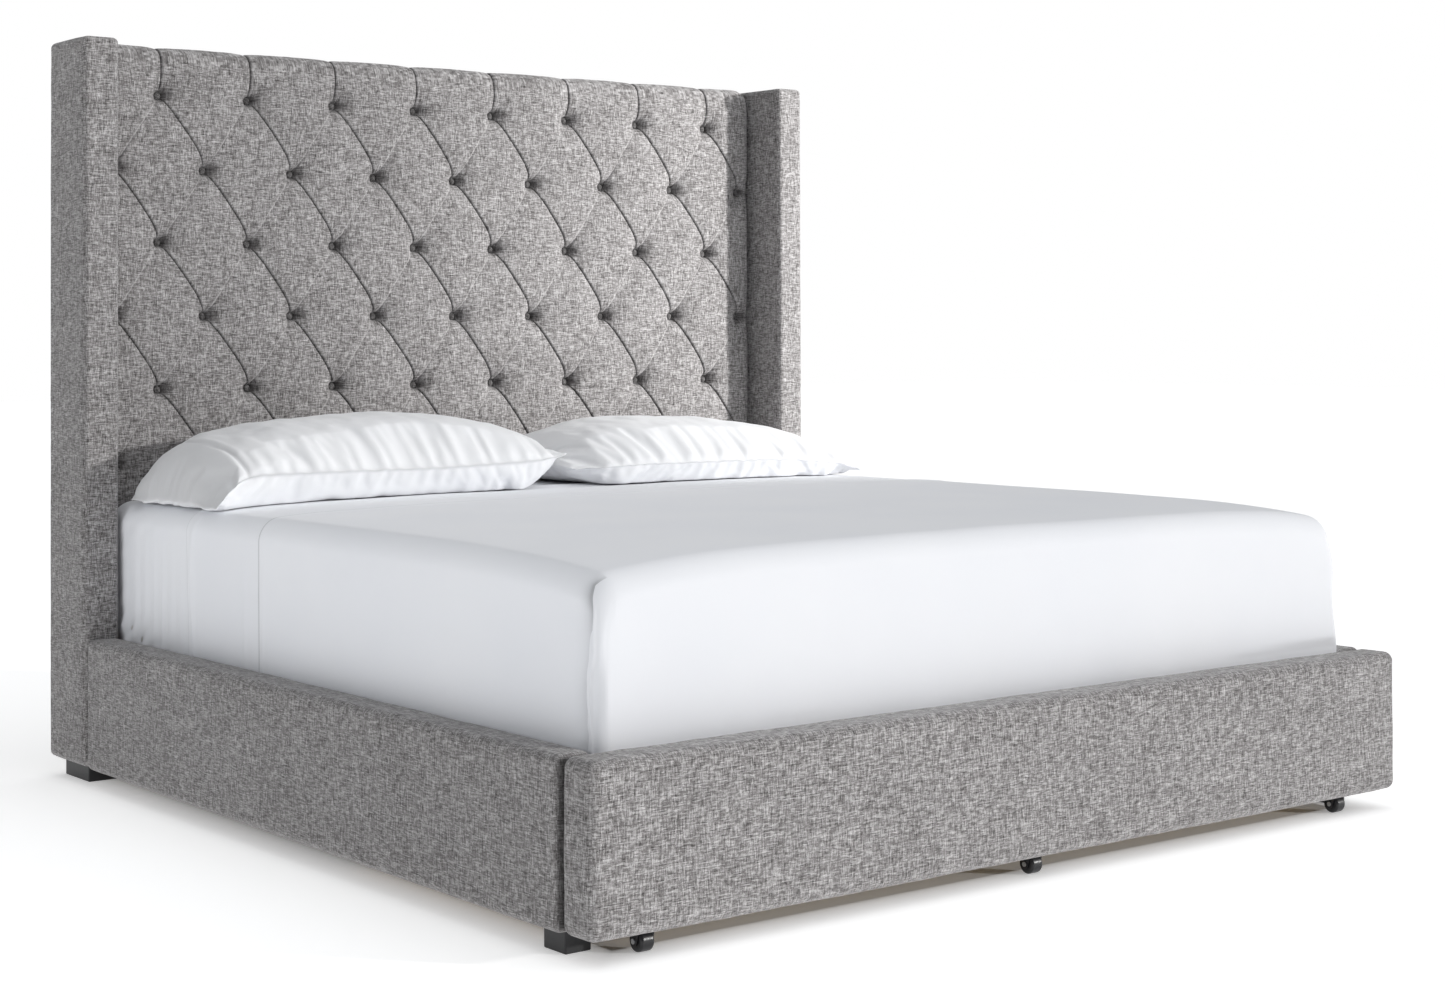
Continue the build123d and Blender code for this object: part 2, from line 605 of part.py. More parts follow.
layer(None, None, MATT_Z0 + 20, 0.0, SHEET_T, "fitted_sheet")
layer(None, COVER_EDGE_Y - 0.5, MATT_Z0 + 8, SHEET_T, COVER_T, "coverlet")
layer(COVER_EDGE_Y, FOLD_EDGE_Y, MATT_Z0 + 8, SHEET_T, COVER_T, "turned_down_sheet")

PILLOW_Z0 = MATT_Z1 + SHEET_T + COVER_T + 1
PILLOW = ((0, 640, 280), (22, 820, 440), (70, 910, 520), (125, 820, 430),
          (172, 470, 170))
for side, s in SIDES:
    with BuildPart() as pillow:
        for k in (0, 1):
            for i, (dz, w, d) in enumerate(PILLOW):
                # k = 1 is the hollow that the light filling takes up
                g = 16 * k
                z = PILLOW_Z0 + dz + (8 * k if i == 0 else -8 * k if i == 4 else 0)
                with BuildSketch(Plane.XY.offset(z)):
                    with Locations((s * 475, 718)):
                        RectangleRounded(w - g, d - g, min(60, (d - g) / 3))
            loft(ruled=True, mode=Mode.SUBTRACT if k else Mode.ADD)
    save(pillow.part, f"pillow_{side}")

print("parts written:", len(os.listdir("parts")))
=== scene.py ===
import json
import math
import random

import bmesh
import bpy
import numpy as np
from mathutils import Matrix, Vector, noise
from mathutils.geometry import delaunay_2d_cdt
from mathutils.kdtree import KDTree

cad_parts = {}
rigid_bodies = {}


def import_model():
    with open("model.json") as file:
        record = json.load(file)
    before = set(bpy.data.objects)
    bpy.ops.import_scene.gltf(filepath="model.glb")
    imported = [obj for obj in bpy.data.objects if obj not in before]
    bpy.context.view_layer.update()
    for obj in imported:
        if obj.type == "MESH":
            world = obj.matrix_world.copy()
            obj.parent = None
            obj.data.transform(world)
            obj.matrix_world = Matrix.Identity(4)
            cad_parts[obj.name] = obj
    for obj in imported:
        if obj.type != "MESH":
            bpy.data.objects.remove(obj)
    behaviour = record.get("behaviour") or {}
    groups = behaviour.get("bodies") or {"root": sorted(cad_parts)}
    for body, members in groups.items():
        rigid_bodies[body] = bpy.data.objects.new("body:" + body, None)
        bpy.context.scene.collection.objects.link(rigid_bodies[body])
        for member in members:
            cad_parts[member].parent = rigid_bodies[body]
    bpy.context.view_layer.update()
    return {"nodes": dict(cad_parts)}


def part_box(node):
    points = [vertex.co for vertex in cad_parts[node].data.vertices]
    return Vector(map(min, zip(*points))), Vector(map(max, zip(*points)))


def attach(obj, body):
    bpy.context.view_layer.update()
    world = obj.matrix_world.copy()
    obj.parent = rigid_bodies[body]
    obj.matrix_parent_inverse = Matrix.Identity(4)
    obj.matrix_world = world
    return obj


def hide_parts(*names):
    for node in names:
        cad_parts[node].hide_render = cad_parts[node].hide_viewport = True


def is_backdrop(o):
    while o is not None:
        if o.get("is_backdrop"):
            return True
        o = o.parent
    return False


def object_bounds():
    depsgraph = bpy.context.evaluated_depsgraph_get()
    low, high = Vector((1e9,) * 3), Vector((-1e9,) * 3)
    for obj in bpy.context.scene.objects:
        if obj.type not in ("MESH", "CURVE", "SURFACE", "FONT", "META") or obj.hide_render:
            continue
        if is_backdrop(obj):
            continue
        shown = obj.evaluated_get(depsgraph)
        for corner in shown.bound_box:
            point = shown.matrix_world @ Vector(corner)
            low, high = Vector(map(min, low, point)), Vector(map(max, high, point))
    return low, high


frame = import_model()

NODES = frame["nodes"]
ROOT, DRAWER = "bed_frame", "drawer"
scene = bpy.context.scene


# ---------------------------------------------------------------- helpers
def make_mesh(name, verts, faces, uvs=None, smooth=True, mat=None):
    me = bpy.data.meshes.new(name)
    me.from_pydata([tuple(map(float, v)) for v in verts], [], [tuple(map(int, f)) for f in faces])
    me.update()
    if uvs is not None:
        layer = me.uv_layers.new(name="UVMap")
        flat = np.array(uvs, np.float32).reshape(-1, 2)
        if len(flat) == len(me.vertices):
            loops = np.zeros(len(me.loops), np.int32)
            me.loops.foreach_get("vertex_index", loops)
            flat = flat[loops]
        layer.data.foreach_set("uv", flat.ravel())
    if smooth:
        me.polygons.foreach_set("use_smooth", [True] * len(me.polygons))
    ob = bpy.data.objects.new(name, me)
    scene.collection.objects.link(ob)
    if mat is not None:
        me.materials.append(mat)
    return ob


def apply_modifiers(ob):
    dg = bpy.context.evaluated_depsgraph_get()
    dg.update()
    me = bpy.data.meshes.new_from_object(ob.evaluated_get(dg), depsgraph=dg)
    old = ob.data
    ob.modifiers.clear()
    ob.data = me
    bpy.data.meshes.remove(old)
    return ob


def smoothstep(a, b, x):
    t = np.clip((x - a) / (b - a), 0.0, 1.0)
    return t * t * (3 - 2 * t)


def fbm(p, scale, octaves=3, seed=0.0):
    """Smooth deterministic noise in -1..1 at points p (n x 3)."""
    off = Vector((seed * 7.13, seed * 3.71, seed * 5.37))
    out = np.empty(len(p))
    for i, q in enumerate(p):
        out[i] = noise.fractal(Vector(q) * scale + off, 1.0, 2.0, octaves)
    return out


def spaced(lo, hi, step, edge=(), at=()):
    """Grid positions from lo to hi about step apart, with lines at the given distances from both ends and at extra places."""
    n = max(2, int(round((hi - lo) / step)))
    pts = set(np.round(np.linspace(lo, hi, n + 1), 5))
    fine = [lo + e for e in edge] + [hi - e for e in edge] + list(at)
    for f in fine:
        pts = {p for p in pts if abs(p - f) > 0.35 * step * 0.5 or p in (lo, hi)}
    pts |= set(np.round(fine, 5)) | {round(lo, 5), round(hi, 5)}
    out = sorted(pts)
    keep = [out[0]]
    for p in out[1:]:
        if p - keep[-1] > 2e-4:
            keep.append(p)
    return np.array(keep)


def box_grid(xs, ys, zs, open_bottom=False):
    """Surface of a box as quads on the given grid lines. Returns points, quads and corner UVs in metres."""
    index, verts, faces, uvs = {}, [], [], []

    def vid(i, j, k):
        key = (i, j, k)
        if key not in index:
            index[key] = len(verts)
            verts.append((xs[i], ys[j], zs[k]))
        return index[key]

    nx, ny, nz = len(xs) - 1, len(ys) - 1, len(zs) - 1

    def quad(corners, uv):
        faces.append([vid(*c) for c in corners])
        uvs.extend(uv(*c) for c in corners)

    for i in range(nx):
        for k in range(nz):
            quad([(i, 0, k), (i + 1, 0, k), (i + 1, 0, k + 1), (i, 0, k + 1)],
                 lambda a, b, c: (xs[a], zs[c]))
            quad([(i + 1, ny, k), (i, ny, k), (i, ny, k + 1), (i + 1, ny, k + 1)],
                 lambda a, b, c: (-xs[a] + 7, zs[c]))
    for j in range(ny):
        for k in range(nz):
            quad([(nx, j, k), (nx, j + 1, k), (nx, j + 1, k + 1), (nx, j, k + 1)],
                 lambda a, b, c: (ys[b] + 3, zs[c] + 0.37))
            quad([(0, j + 1, k), (0, j, k), (0, j, k + 1), (0, j + 1, k + 1)],
                 lambda a, b, c: (-ys[b] + 5, zs[c] + 0.71))
    for i in range(nx):
        for j in range(ny):
            quad([(i, j, nz), (i + 1, j, nz), (i + 1, j + 1, nz), (i, j + 1, nz)],
                 lambda a, b, c: (xs[a] + 11, ys[b]))
            if not open_bottom:
                quad([(i, j + 1, 0), (i + 1, j + 1, 0), (i + 1, j, 0), (i, j, 0)],
                     lambda a, b, c: (xs[a] + 13, -ys[b]))
    return np.array(verts, float), faces, uvs


def round_box(p, lo, hi, r):
    """Rounds a box's points to radius r (three numbers: x, y, z radii alike or one)."""
    r = np.broadcast_to(np.array(r, float), (3,))
    lo, hi = np.array(lo, float), np.array(hi, float)
    inner_lo, inner_hi = lo + r, hi - r
    c = np.clip(p, inner_lo, inner_hi)
    d = (p - c) / r
    m = np.abs(d).max(axis=1)
    n = np.linalg.norm(d, axis=1)
    k = np.where(n > 1e-9, m / np.maximum(n, 1e-9), 1.0)
    # spread points evenly round the arc
    return c + d * k[:, None] * r, d


def soft_box(name, lo, hi, r, step, mat, seed=1, crown=0.0, wave=0.0006, at=((), (), ()),
             edge=None, warp=None, flat_bottom=False):
    """A padded box: rounded edges, slightly crowned faces and a faint waviness."""
    edge = edge or [r * f for f in (0.12, 0.3, 0.5, 0.7, 0.88, 1.0, 1.35)]
    xs = spaced(lo[0], hi[0], step, edge, at[0])
    ys = spaced(lo[1], hi[1], step, edge, at[1])
    zs = spaced(lo[2], hi[2], step, edge, at[2])
    v, f, uv = box_grid(xs, ys, zs)
    lo_, hi_ = np.array(lo, float), np.array(hi, float)
    p, d = round_box(v, lo_, hi_, min(r, *(0.499 * (hi_ - lo_))))
    n = d / np.maximum(np.linalg.norm(d, axis=1), 1e-9)[:, None]
    t = (v - lo_) / (hi_ - lo_) * 2 - 1
    bulge = np.ones(len(v))
    for a in range(3):
        face = np.abs(t[:, a]) > 0.999
        others = [b for b in range(3) if b != a]
        w = np.prod([1 - np.abs(t[:, b]) ** 6 for b in others], axis=0)
        bulge = np.where(face, w, bulge)
    h = crown * bulge + wave * fbm(p, 9.0, 3, seed) + wave * 0.6 * fbm(p, 28.0, 2, seed + 5)
    if flat_bottom:
        h = np.where(v[:, 2] < lo_[2] + 1e-6, 0, h)
    p = p + n * h[:, None]
    if warp:
        p = warp(p, v, n)
    return make_mesh(name, p, f, uv, mat=mat)


def tube(name, pts, radius, mat, sides=10, closed=False, seed=0):
    """A cord sewn along a line of points."""
    pts = [Vector(p) for p in pts]
    n = len(pts)
    verts, faces, uvs = [], [], []
    prev = None
    length = 0.0
    for i, p in enumerate(pts):
        a = pts[(i - 1) % n] if (closed or i) else p
        b = pts[(i + 1) % n] if (closed or i < n - 1) else p
        t = (b - a).normalized()
        if prev is None:
            up = Vector((0, 0, 1)) if abs(t.z) < 0.9 else Vector((0, 1, 0))
            side = t.cross(up).normalized()
        else:
            side = (prev - t * prev.dot(t)).normalized()
        prev = side
        other = t.cross(side)
        if i:
            length += (p - pts[i - 1]).length
        for k in range(sides):
            g = 2 * math.pi * k / sides
            verts.append(p + (side * math.cos(g) + other * math.sin(g)) * radius)
            uvs.append((length, k / sides * 2 * math.pi * radius))
    rings = n if closed else n - 1
    for i in range(rings):
        for k in range(sides):
            a, b = i * sides + k, i * sides + (k + 1) % sides
            c, d = ((i + 1) % n) * sides + (k + 1) % sides, ((i + 1) % n) * sides + k
            faces.append((a, b, c, d))
    if not closed:
        faces.append(tuple(range(sides - 1, -1, -1)))
        faces.append(tuple((n - 1) * sides + k for k in range(sides)))
    return make_mesh(name, verts, faces, uvs, mat=mat)


# --------------------------------------------------------------- materials
def new_material(name):
    m = bpy.data.materials.new(name)
    m.use_nodes = True
    nt = m.node_tree
    nt.nodes.clear()
    out = nt.nodes.new("ShaderNodeOutputMaterial")
    bsdf = nt.nodes.new("ShaderNodeBsdfPrincipled")
    nt.links.new(bsdf.outputs[0], out.inputs[0])
    return m, nt, bsdf


class Nodes:
    """Small helper for wiring nodes."""

    def __init__(self, nt):
        self.nt = nt

    def add(self, kind, **inputs):
        n = self.nt.nodes.new(kind)
        for k, v in inputs.items():
            self.set(n, k, v)
        return n

    def set(self, n, key, v):
        sock = n.inputs[int(key[1:])] if key[0] == "_" and key[1:].isdigit() else n.inputs[key]
        if isinstance(v, bpy.types.NodeSocket):
            self.nt.links.new(v, sock)
        else:
            sock.default_value = v

    def math(self, op, a, b=None, clamp=False):
        n = self.nt.nodes.new("ShaderNodeMath")
        n.operation = op
        n.use_clamp = clamp
        self.set(n, "_0", a)
        if b is not None:
            self.set(n, "_1", b)
        return n.outputs[0]

    def scale(self, vec, xyz, offset=(0, 0, 0)):
        n = self.nt.nodes.new("ShaderNodeMapping")
        self.set(n, "Vector", vec)
        n.inputs["Scale"].default_value = xyz
        n.inputs["Location"].default_value = offset
        return n.outputs[0]

    def noise(self, vec, scale=1.0, detail=2.0, rough=0.5, dims="3D"):
        n = self.nt.nodes.new("ShaderNodeTexNoise")
        n.noise_dimensions = dims
        self.set(n, "Vector", vec)
        n.inputs["Scale"].default_value = scale
        n.inputs["Detail"].default_value = detail
        n.inputs["Roughness"].default_value = rough
        return n.outputs["Fac"]

    def ramp(self, fac, stops, interp="LINEAR"):
        n = self.nt.nodes.new("ShaderNodeValToRGB")
        n.color_ramp.interpolation = interp
        el = n.color_ramp.elements
        while len(el) < len(stops):
            el.new(0.5)
        for e, (pos, col) in zip(el, stops):
            e.position = pos
            e.color = (*col, 1) if len(col) == 3 else col
        self.set(n, "Fac", fac)
        return n.outputs["Color"]

    def mix(self, fac, a, b, mode="MIX"):
        n = self.nt.nodes.new("ShaderNodeMix")
        n.data_type = "RGBA"
        n.blend_type = mode
        self.set(n, "_0", fac)
        self.set(n, "_6", a)
        self.set(n, "_7", b)
        return n.outputs[2]

    def bump(self, height, strength, distance, normal=None):
        n = self.nt.nodes.new("ShaderNodeBump")
        n.inputs["Strength"].default_value = strength
        n.inputs["Distance"].default_value = distance
        self.set(n, "Height", height)
        if normal is not None:
            self.set(n, "Normal", normal)
        return n.outputs[0]


def grey(v):
    return (v, v, v)


def weave_material(name, dark, mid, light, painted_fold_light=False):
    """Heathered linen weave: crossed threads of uneven thickness with pale slubs running across; with the fold switch
    on it also takes painted highlight and painted shade from point attributes.
    """
    m, nt, bsdf = new_material(name)
    g = Nodes(nt)
    uv = g.add("ShaderNodeUVMap").outputs[0]
    # slightly wandering threads
    wob = g.noise(g.scale(uv, (9, 9, 1)), 1.0, 2.0)
    wobv = g.add("ShaderNodeCombineXYZ", X=g.math("MULTIPLY", wob, 0.004), Y=g.math("MULTIPLY", wob, 0.006))
    uvw = g.add("ShaderNodeVectorMath")
    g.set(uvw, "_0", uv)
    g.set(uvw, "_1", wobv.outputs[0])
    uvw = uvw.outputs[0]
    # each thread has its own number, and its shade changes slowly along it
    xy = g.add("ShaderNodeSeparateXYZ", Vector=uvw)
    row = g.math("FLOOR", g.math("MULTIPLY", xy.outputs["Y"], 520.0))
    column = g.math("FLOOR", g.math("MULTIPLY", xy.outputs["X"], 520.0))

    def thread(along, number, freq, hop, z):
        v = g.add("ShaderNodeCombineXYZ", X=g.math("ADD", g.math("MULTIPLY", along, freq), g.math("MULTIPLY", number, 3.37)),
                  Y=g.math("MULTIPLY", number, hop), Z=z)
        return g.noise(v.outputs[0], 1.0, 2.0, 0.6)

    weft = thread(xy.outputs["X"], row, 50.0, 7.77, 0.0)
    warp = thread(xy.outputs["Y"], column, 60.0, 7.77, 5.3)
    slub = thread(xy.outputs["X"], row, 27.0, 9.31, 9.7)
    dark_slub = thread(xy.outputs["X"], row, 36.0, 8.83, 14.3)
    cloud = g.noise(g.scale(uv, (7, 9, 1), (5, 2, 0)), 1.0, 2.0, 0.5)
    fine = g.noise(g.scale(uvw, (560, 560, 1), (2, 8, 0)), 1.0, 1.0, 0.5)
    value = g.math("ADD", g.math("MULTIPLY", weft, 0.52), g.math("MULTIPLY", warp, 0.48))
    value = g.math("ADD", value, g.math("MULTIPLY", fine, 0.24))
    base = g.ramp(value, [(0.465, dark), (0.62, mid), (0.78, light)])
    s = g.ramp(slub, [(0.59, grey(0)), (0.68, grey(1))])
    base = g.mix(g.math("MULTIPLY", s, 0.34), base, (*[min(1, c * 1.12) for c in light], 1))
    d = g.ramp(dark_slub, [(0.60, grey(0)), (0.70, grey(1))])
    base = g.mix(g.math("MULTIPLY", d, 0.22), base, (*[c * 0.75 for c in dark], 1))
    tone = g.ramp(cloud, [(0.3, grey(0.95)), (0.7, grey(1.04))])
    base = g.mix(1.0, base, tone, "MULTIPLY")
    if painted_fold_light:
        # painted highlight along fold crests, and painted shade in fold slits, gaps and button funnels
        crest = g.add("ShaderNodeAttribute")
        crest.attribute_name = "crest"
        painted_shade = g.add("ShaderNodeAttribute")
        painted_shade.attribute_name = "painted_shade"
        base = g.mix(g.math("MULTIPLY", crest.outputs["Fac"], 0.50), base, (*light, 1))
        base = g.mix(g.math("MULTIPLY", painted_shade.outputs["Fac"], 0.72), base, (*[c * 0.45 for c in dark], 1))
    g.set(bsdf, "Base Color", base)
    rough = g.math("ADD", g.math("MULTIPLY", weft, 0.12), 0.80)
    g.set(bsdf, "Roughness", rough)
    bsdf.inputs["Specular IOR Level"].default_value = 0.25
    bsdf.inputs["Sheen Weight"].default_value = 0.25
    bsdf.inputs["Sheen Roughness"].default_value = 0.5
    bsdf.inputs["Sheen Tint"].default_value = (1, 1, 1, 1)
    h = g.math("ADD", g.math("MULTIPLY", weft, 1.0), g.math("MULTIPLY", warp, 0.8))
    h = g.math("ADD", h, g.math("MULTIPLY", s, 0.5))
    g.set(bsdf, "Normal", g.bump(h, 0.55, 0.0009))
    return m


def cotton_material(name, colour, tint, bump=0.25, crease=0.0):
    """Smooth percale: faint thread relief, slight tone drift, soft creases, and painted shade where a point attribute
    marks edges and seams.
    """
    m, nt, bsdf = new_material(name)
    g = Nodes(nt)
    pos = g.add("ShaderNodeTexCoord").outputs["Object"]
    cloud = g.noise(g.scale(pos, (3, 3, 3)), 1.0, 3.0, 0.5)
    thread_a = g.noise(g.scale(pos, (900, 90, 900)), 1.0, 2.0, 0.5)
    thread_b = g.noise(g.scale(pos, (90, 900, 140), (3, 1, 2)), 1.0, 2.0, 0.5)
    col = g.mix(g.ramp(cloud, [(0.35, grey(0)), (0.7, grey(1))]), (*colour, 1), (*tint, 1))
    # painted shade: the colour darkens towards 0.42 of the tint where the attribute is set
    painted_shade = g.add("ShaderNodeAttribute")
    painted_shade.attribute_name = "painted_shade"
    col = g.mix(painted_shade.outputs["Fac"], col, (*[c * 0.42 for c in tint], 1))
    g.set(bsdf, "Base Color", col)
    g.set(bsdf, "Roughness", g.math("ADD", g.math("MULTIPLY", thread_a, 0.1), 0.74))
    bsdf.inputs["Specular IOR Level"].default_value = 0.22
    bsdf.inputs["Sheen Weight"].default_value = 0.12
    bsdf.inputs["Sheen Roughness"].default_value = 0.4
    h = g.math("ADD", thread_a, thread_b)
    n1 = g.bump(h, bump, 0.0004)
    if crease:
        soft = g.noise(g.scale(pos, (6, 6, 9), (1, 4, 2)), 1.0, 4.0, 0.55)
        n1 = g.bump(soft, crease, 0.004, n1)
    g.set(bsdf, "Normal", n1)
    return m


def wood_material(name, light, dark, along, ring=26.0, rough=0.6):
    """Planed softwood or birch ply, grain along one axis."""
    m, nt, bsdf = new_material(name)
    g = Nodes(nt)
    pos = g.add("ShaderNodeTexCoord").outputs["Object"]
    s = [ring, ring, ring]
    s[along] = ring * 0.06
    broad = g.noise(g.scale(pos, s), 1.0, 3.0, 0.55)
    s2 = [ring * 14] * 3
    s2[along] = ring * 0.35
    fine = g.noise(g.scale(pos, s2, (4, 2, 7)), 1.0, 3.0, 0.6)
    bands = g.math("FRACT", g.math("MULTIPLY", broad, 7.0))
    bands = g.math("ABSOLUTE", g.math("SUBTRACT", bands, 0.5))
    v = g.math("ADD", g.math("MULTIPLY", bands, 1.1), g.math("MULTIPLY", fine, 0.5))
    col = g.ramp(v, [(0.2, dark), (0.75, light)])
    g.set(bsdf, "Base Color", col)
    g.set(bsdf, "Roughness", g.math("ADD", g.math("MULTIPLY", fine, 0.2), rough - 0.1))
    bsdf.inputs["Specular IOR Level"].default_value = 0.35
    g.set(bsdf, "Normal", g.bump(fine, 0.3, 0.0006))
    return m


def plastic_material(name, colour, rough=0.45, grain=420.0):
    m, nt, bsdf = new_material(name)
    g = Nodes(nt)
    pos = g.add("ShaderNodeTexCoord").outputs["Object"]
    n = g.noise(g.scale(pos, (grain, grain, grain)), 1.0, 3.0, 0.6)
    big = g.noise(g.scale(pos, (14, 14, 14)), 1.0, 2.0, 0.5)
    col = g.mix(big, (*[c * 0.8 for c in colour], 1), (*[min(1, c * 1.3 + 0.004) for c in colour], 1))
    g.set(bsdf, "Base Color", col)
    g.set(bsdf, "Roughness", g.math("ADD", g.math("MULTIPLY", n, 0.18), rough - 0.08))
    g.set(bsdf, "Normal", g.bump(n, 0.25, 0.0003))
    return m


def steel_material(name, colour, rough=0.32):
    m, nt, bsdf = new_material(name)
    g = Nodes(nt)
    pos = g.add("ShaderNodeTexCoord").outputs["Object"]
    spangle = nt.nodes.new("ShaderNodeTexVoronoi")
    g.set(spangle, "Vector", g.scale(pos, (160, 160, 160)))
    n = g.noise(g.scale(pos, (40, 900, 900)), 1.0, 2.0, 0.5)
    col = g.mix(g.math("MULTIPLY", spangle.outputs["Color"], 0.5), (*colour, 1), (*[c * 0.78 for c in colour], 1))
    g.set(bsdf, "Base Color", col)
    bsdf.inputs["Metallic"].default_value = 1.0
    g.set(bsdf, "Roughness", g.math("ADD", g.math("MULTIPLY", n, 0.2), rough))
    g.set(bsdf, "Normal", g.bump(n, 0.12, 0.0003))
    return m


def felt_material(name, colour):
    """Thin spun-bonded dust cloth with its dimple pattern."""
    m, nt, bsdf = new_material(name)
    g = Nodes(nt)
    pos = g.add("ShaderNodeTexCoord").outputs["Object"]
    v = nt.nodes.new("ShaderNodeTexVoronoi")
    g.set(v, "Vector", g.scale(pos, (260, 260, 260)))
    fibre = g.noise(g.scale(pos, (300, 300, 300)), 1.0, 4.0, 0.7)
    col = g.mix(fibre, (*[c * 0.6 for c in colour], 1), (*[c * 1.6 for c in colour], 1))
    g.set(bsdf, "Base Color", col)
    g.set(bsdf, "Roughness", g.math("ADD", g.math("MULTIPLY", fibre, 0.1), 0.85))
    g.set(bsdf, "Normal", g.bump(v.outputs["Distance"], 0.4, 0.0008))
    return m


TONES = ((0.058, 0.052, 0.051), (0.268, 0.256, 0.254), (0.640, 0.625, 0.628))
LINEN = weave_material("linen_weave", *TONES)
# painted shade: a copy of the linen darkened to 0.42, standing in for the shade deep in the button funnels
LINEN_BUTTONS_PAINTED_SHADE = weave_material("linen_weave_buttons_painted_shade", *[tuple(c * 0.42 for c in tone) for tone in TONES])
# linen with painted highlight and painted shade, read from point attributes on the panel, rails and drawer front
LINEN_PAINTED_LIGHT = weave_material("linen_weave_painted_light", *TONES, painted_fold_light=True)
COTTON = cotton_material("white_percale", (0.890, 0.900, 0.930), (0.865, 0.878, 0.915), 0.2)
COTTON_P = cotton_material("white_pillow_percale", (0.905, 0.910, 0.925), (0.885, 0.892, 0.912), 0.2, 0.12)
TICKING = cotton_material("mattress_ticking", (0.82, 0.81, 0.79), (0.76, 0.75, 0.73), 0.5)
PINE_X = wood_material("pine_along_x", (0.72, 0.54, 0.33), (0.52, 0.34, 0.18), 0)
PINE_Y = wood_material("pine_along_y", (0.72, 0.54, 0.33), (0.52, 0.34, 0.18), 1)
PINE_Z = wood_material("pine_along_z", (0.72, 0.54, 0.33), (0.52, 0.34, 0.18), 2)
PLY_X = wood_material("birch_ply_along_x", (0.74, 0.61, 0.43), (0.60, 0.46, 0.29), 0, 12.0)
PLY_Y = wood_material("birch_ply_along_y", (0.74, 0.61, 0.43), (0.60, 0.46, 0.29), 1, 12.0)
BLACK = plastic_material("black_plastic", (0.018, 0.018, 0.02), 0.42)
WHEEL = plastic_material("caster_black", (0.014, 0.014, 0.016), 0.3, 700.0)
FORK = plastic_material("black_enamel_steel", (0.02, 0.02, 0.022), 0.36, 250.0)
ZINC = steel_material("zinc_plated_steel", (0.66, 0.67, 0.68))
RUBBER = plastic_material("rubber", (0.03, 0.03, 0.03), 0.75, 300.0)
DUST = felt_material("black_dust_cloth", (0.016, 0.016, 0.018))
STRAP = felt_material("webbing", (0.06, 0.06, 0.065))


def dress(material, *names):
    for n in names:
        ob = NODES[n]
        ob.data.materials.clear()
        ob.data.materials.append(material)
        for p in ob.data.polygons:
            p.material_index = 0


dress(PINE_Z, "wing_frame_left", "wing_frame_right", "headboard_stiles")
dress(PINE_X, "headboard_crossbars", "foot_crossbeam", "cross_bearers", "bed_slats", "drawer_front_battens",
      "drawer_stop_blocks", "drawer_stop_tabs", "caster_spacers")
dress(PINE_Y, "side_rail_battens", "slat_ledgers", "drawer_guides", "center_beam")
dress(PLY_X, "headboard_backing_board", "drawer_front_boards", "drawer_bottom", "drawer_box_front", "drawer_box_back")
dress(PLY_Y, "side_rail_boards_left", "side_rail_boards_right", "drawer_side_left", "drawer_side_right",
      "drawer_divider")
dress(BLACK, "headboard_feet", "side_rail_feet", "leg_glides", "support_legs")
dress(WHEEL, *[n for n in NODES if n.startswith("caster_wheel_")])
dress(FORK, "caster_forks")
dress(ZINC, "slotted_plates", "rail_hook_plates", "wing_bolts", "beam_brackets", "bracket_screws",
      "drawer_screws", "caster_axles")
dress(RUBBER, "drawer_bumpers")
dress(STRAP, "slat_straps")


def place(ob, body, replaces=()):
    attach(ob, body)
    if replaces:
        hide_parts(*replaces)
    return ob


# ---------------------------------------------------------- tufted headboard
PITCH, ROW1, ROWSTEP, ROWS = 0.2314, 1.590, 0.1744, 6
PLANE_Y = 1.055              # the plane of the buttons
HALF = 0.9655                # the pad's half width
TOP_Z = 1.679                # base surface's top, under the padding
ARC = 0.012                  # base surface's rounding over the top
CROWN = 0.038                # height of a puff above the button plane
PAD_BOTTOM = 0.474
rng = random.Random(11)

buttons = []
for r in range(ROWS):
    n = 8 if r % 2 == 0 else 9
    for i in range(n):
        buttons.append(((i - (n - 1) / 2) * PITCH, ROW1 - r * ROWSTEP, r))
BXY = np.array([(b[0], b[1]) for b in buttons])

KINDS = {"right": 0, "left": 1, "up": 2, "down": 3, "side": 4}
pleats = []


def bow_curve(t, table):
    """A smooth curve through a table of (t, offset) pairs."""
    fine = np.linspace(0, 1, 201)
    y = np.interp(fine, [p[0] for p in table], [p[1] for p in table])
    pad = np.concatenate([2 * y[0] - y[8:0:-1], y, 2 * y[-1] - y[-2:-10:-1]])
    y = np.convolve(pad, np.hanning(19)[1:-1] / np.hanning(19)[1:-1].sum(), "valid")
    return np.interp(t, fine, y)


RIGHT_BOW = [(0, 0), (0.08, 0.0024), (0.17, 0.0042), (0.40, 0.0064), (0.56, 0.0080), (0.72, 0.0093),
             (0.80, 0.0092), (0.89, 0.0072), (0.96, 0.0038), (1, 0)]
LEFT_BOW = [(0, 0), (0.15, -0.0035), (0.40, -0.0066), (0.60, -0.0062), (0.85, -0.0030), (1, 0)]
NO_BOW = [(0, 0), (1, 0)]


def pleat(a, b, bow, size, kind):
    """A fold from a to b. Its line bows by the table's offsets towards its left-hand normal."""
    a, b = np.array(a, float), np.array(b, float)
    d = b - a
    length = np.linalg.norm(d)
    u = d / length
    n = np.array([-u[1], u[0]])
    t = np.linspace(0, 1, max(6, int(length / 0.0050)) + 1)
    off = bow_curve(t, bow) * size
    off[0] = off[-1] = 0.0
    pts = a + np.outer(t * length, u) + np.outer(off, n)
    pleats.append({"p": pts, "kind": kind, "len": length, "t": t})


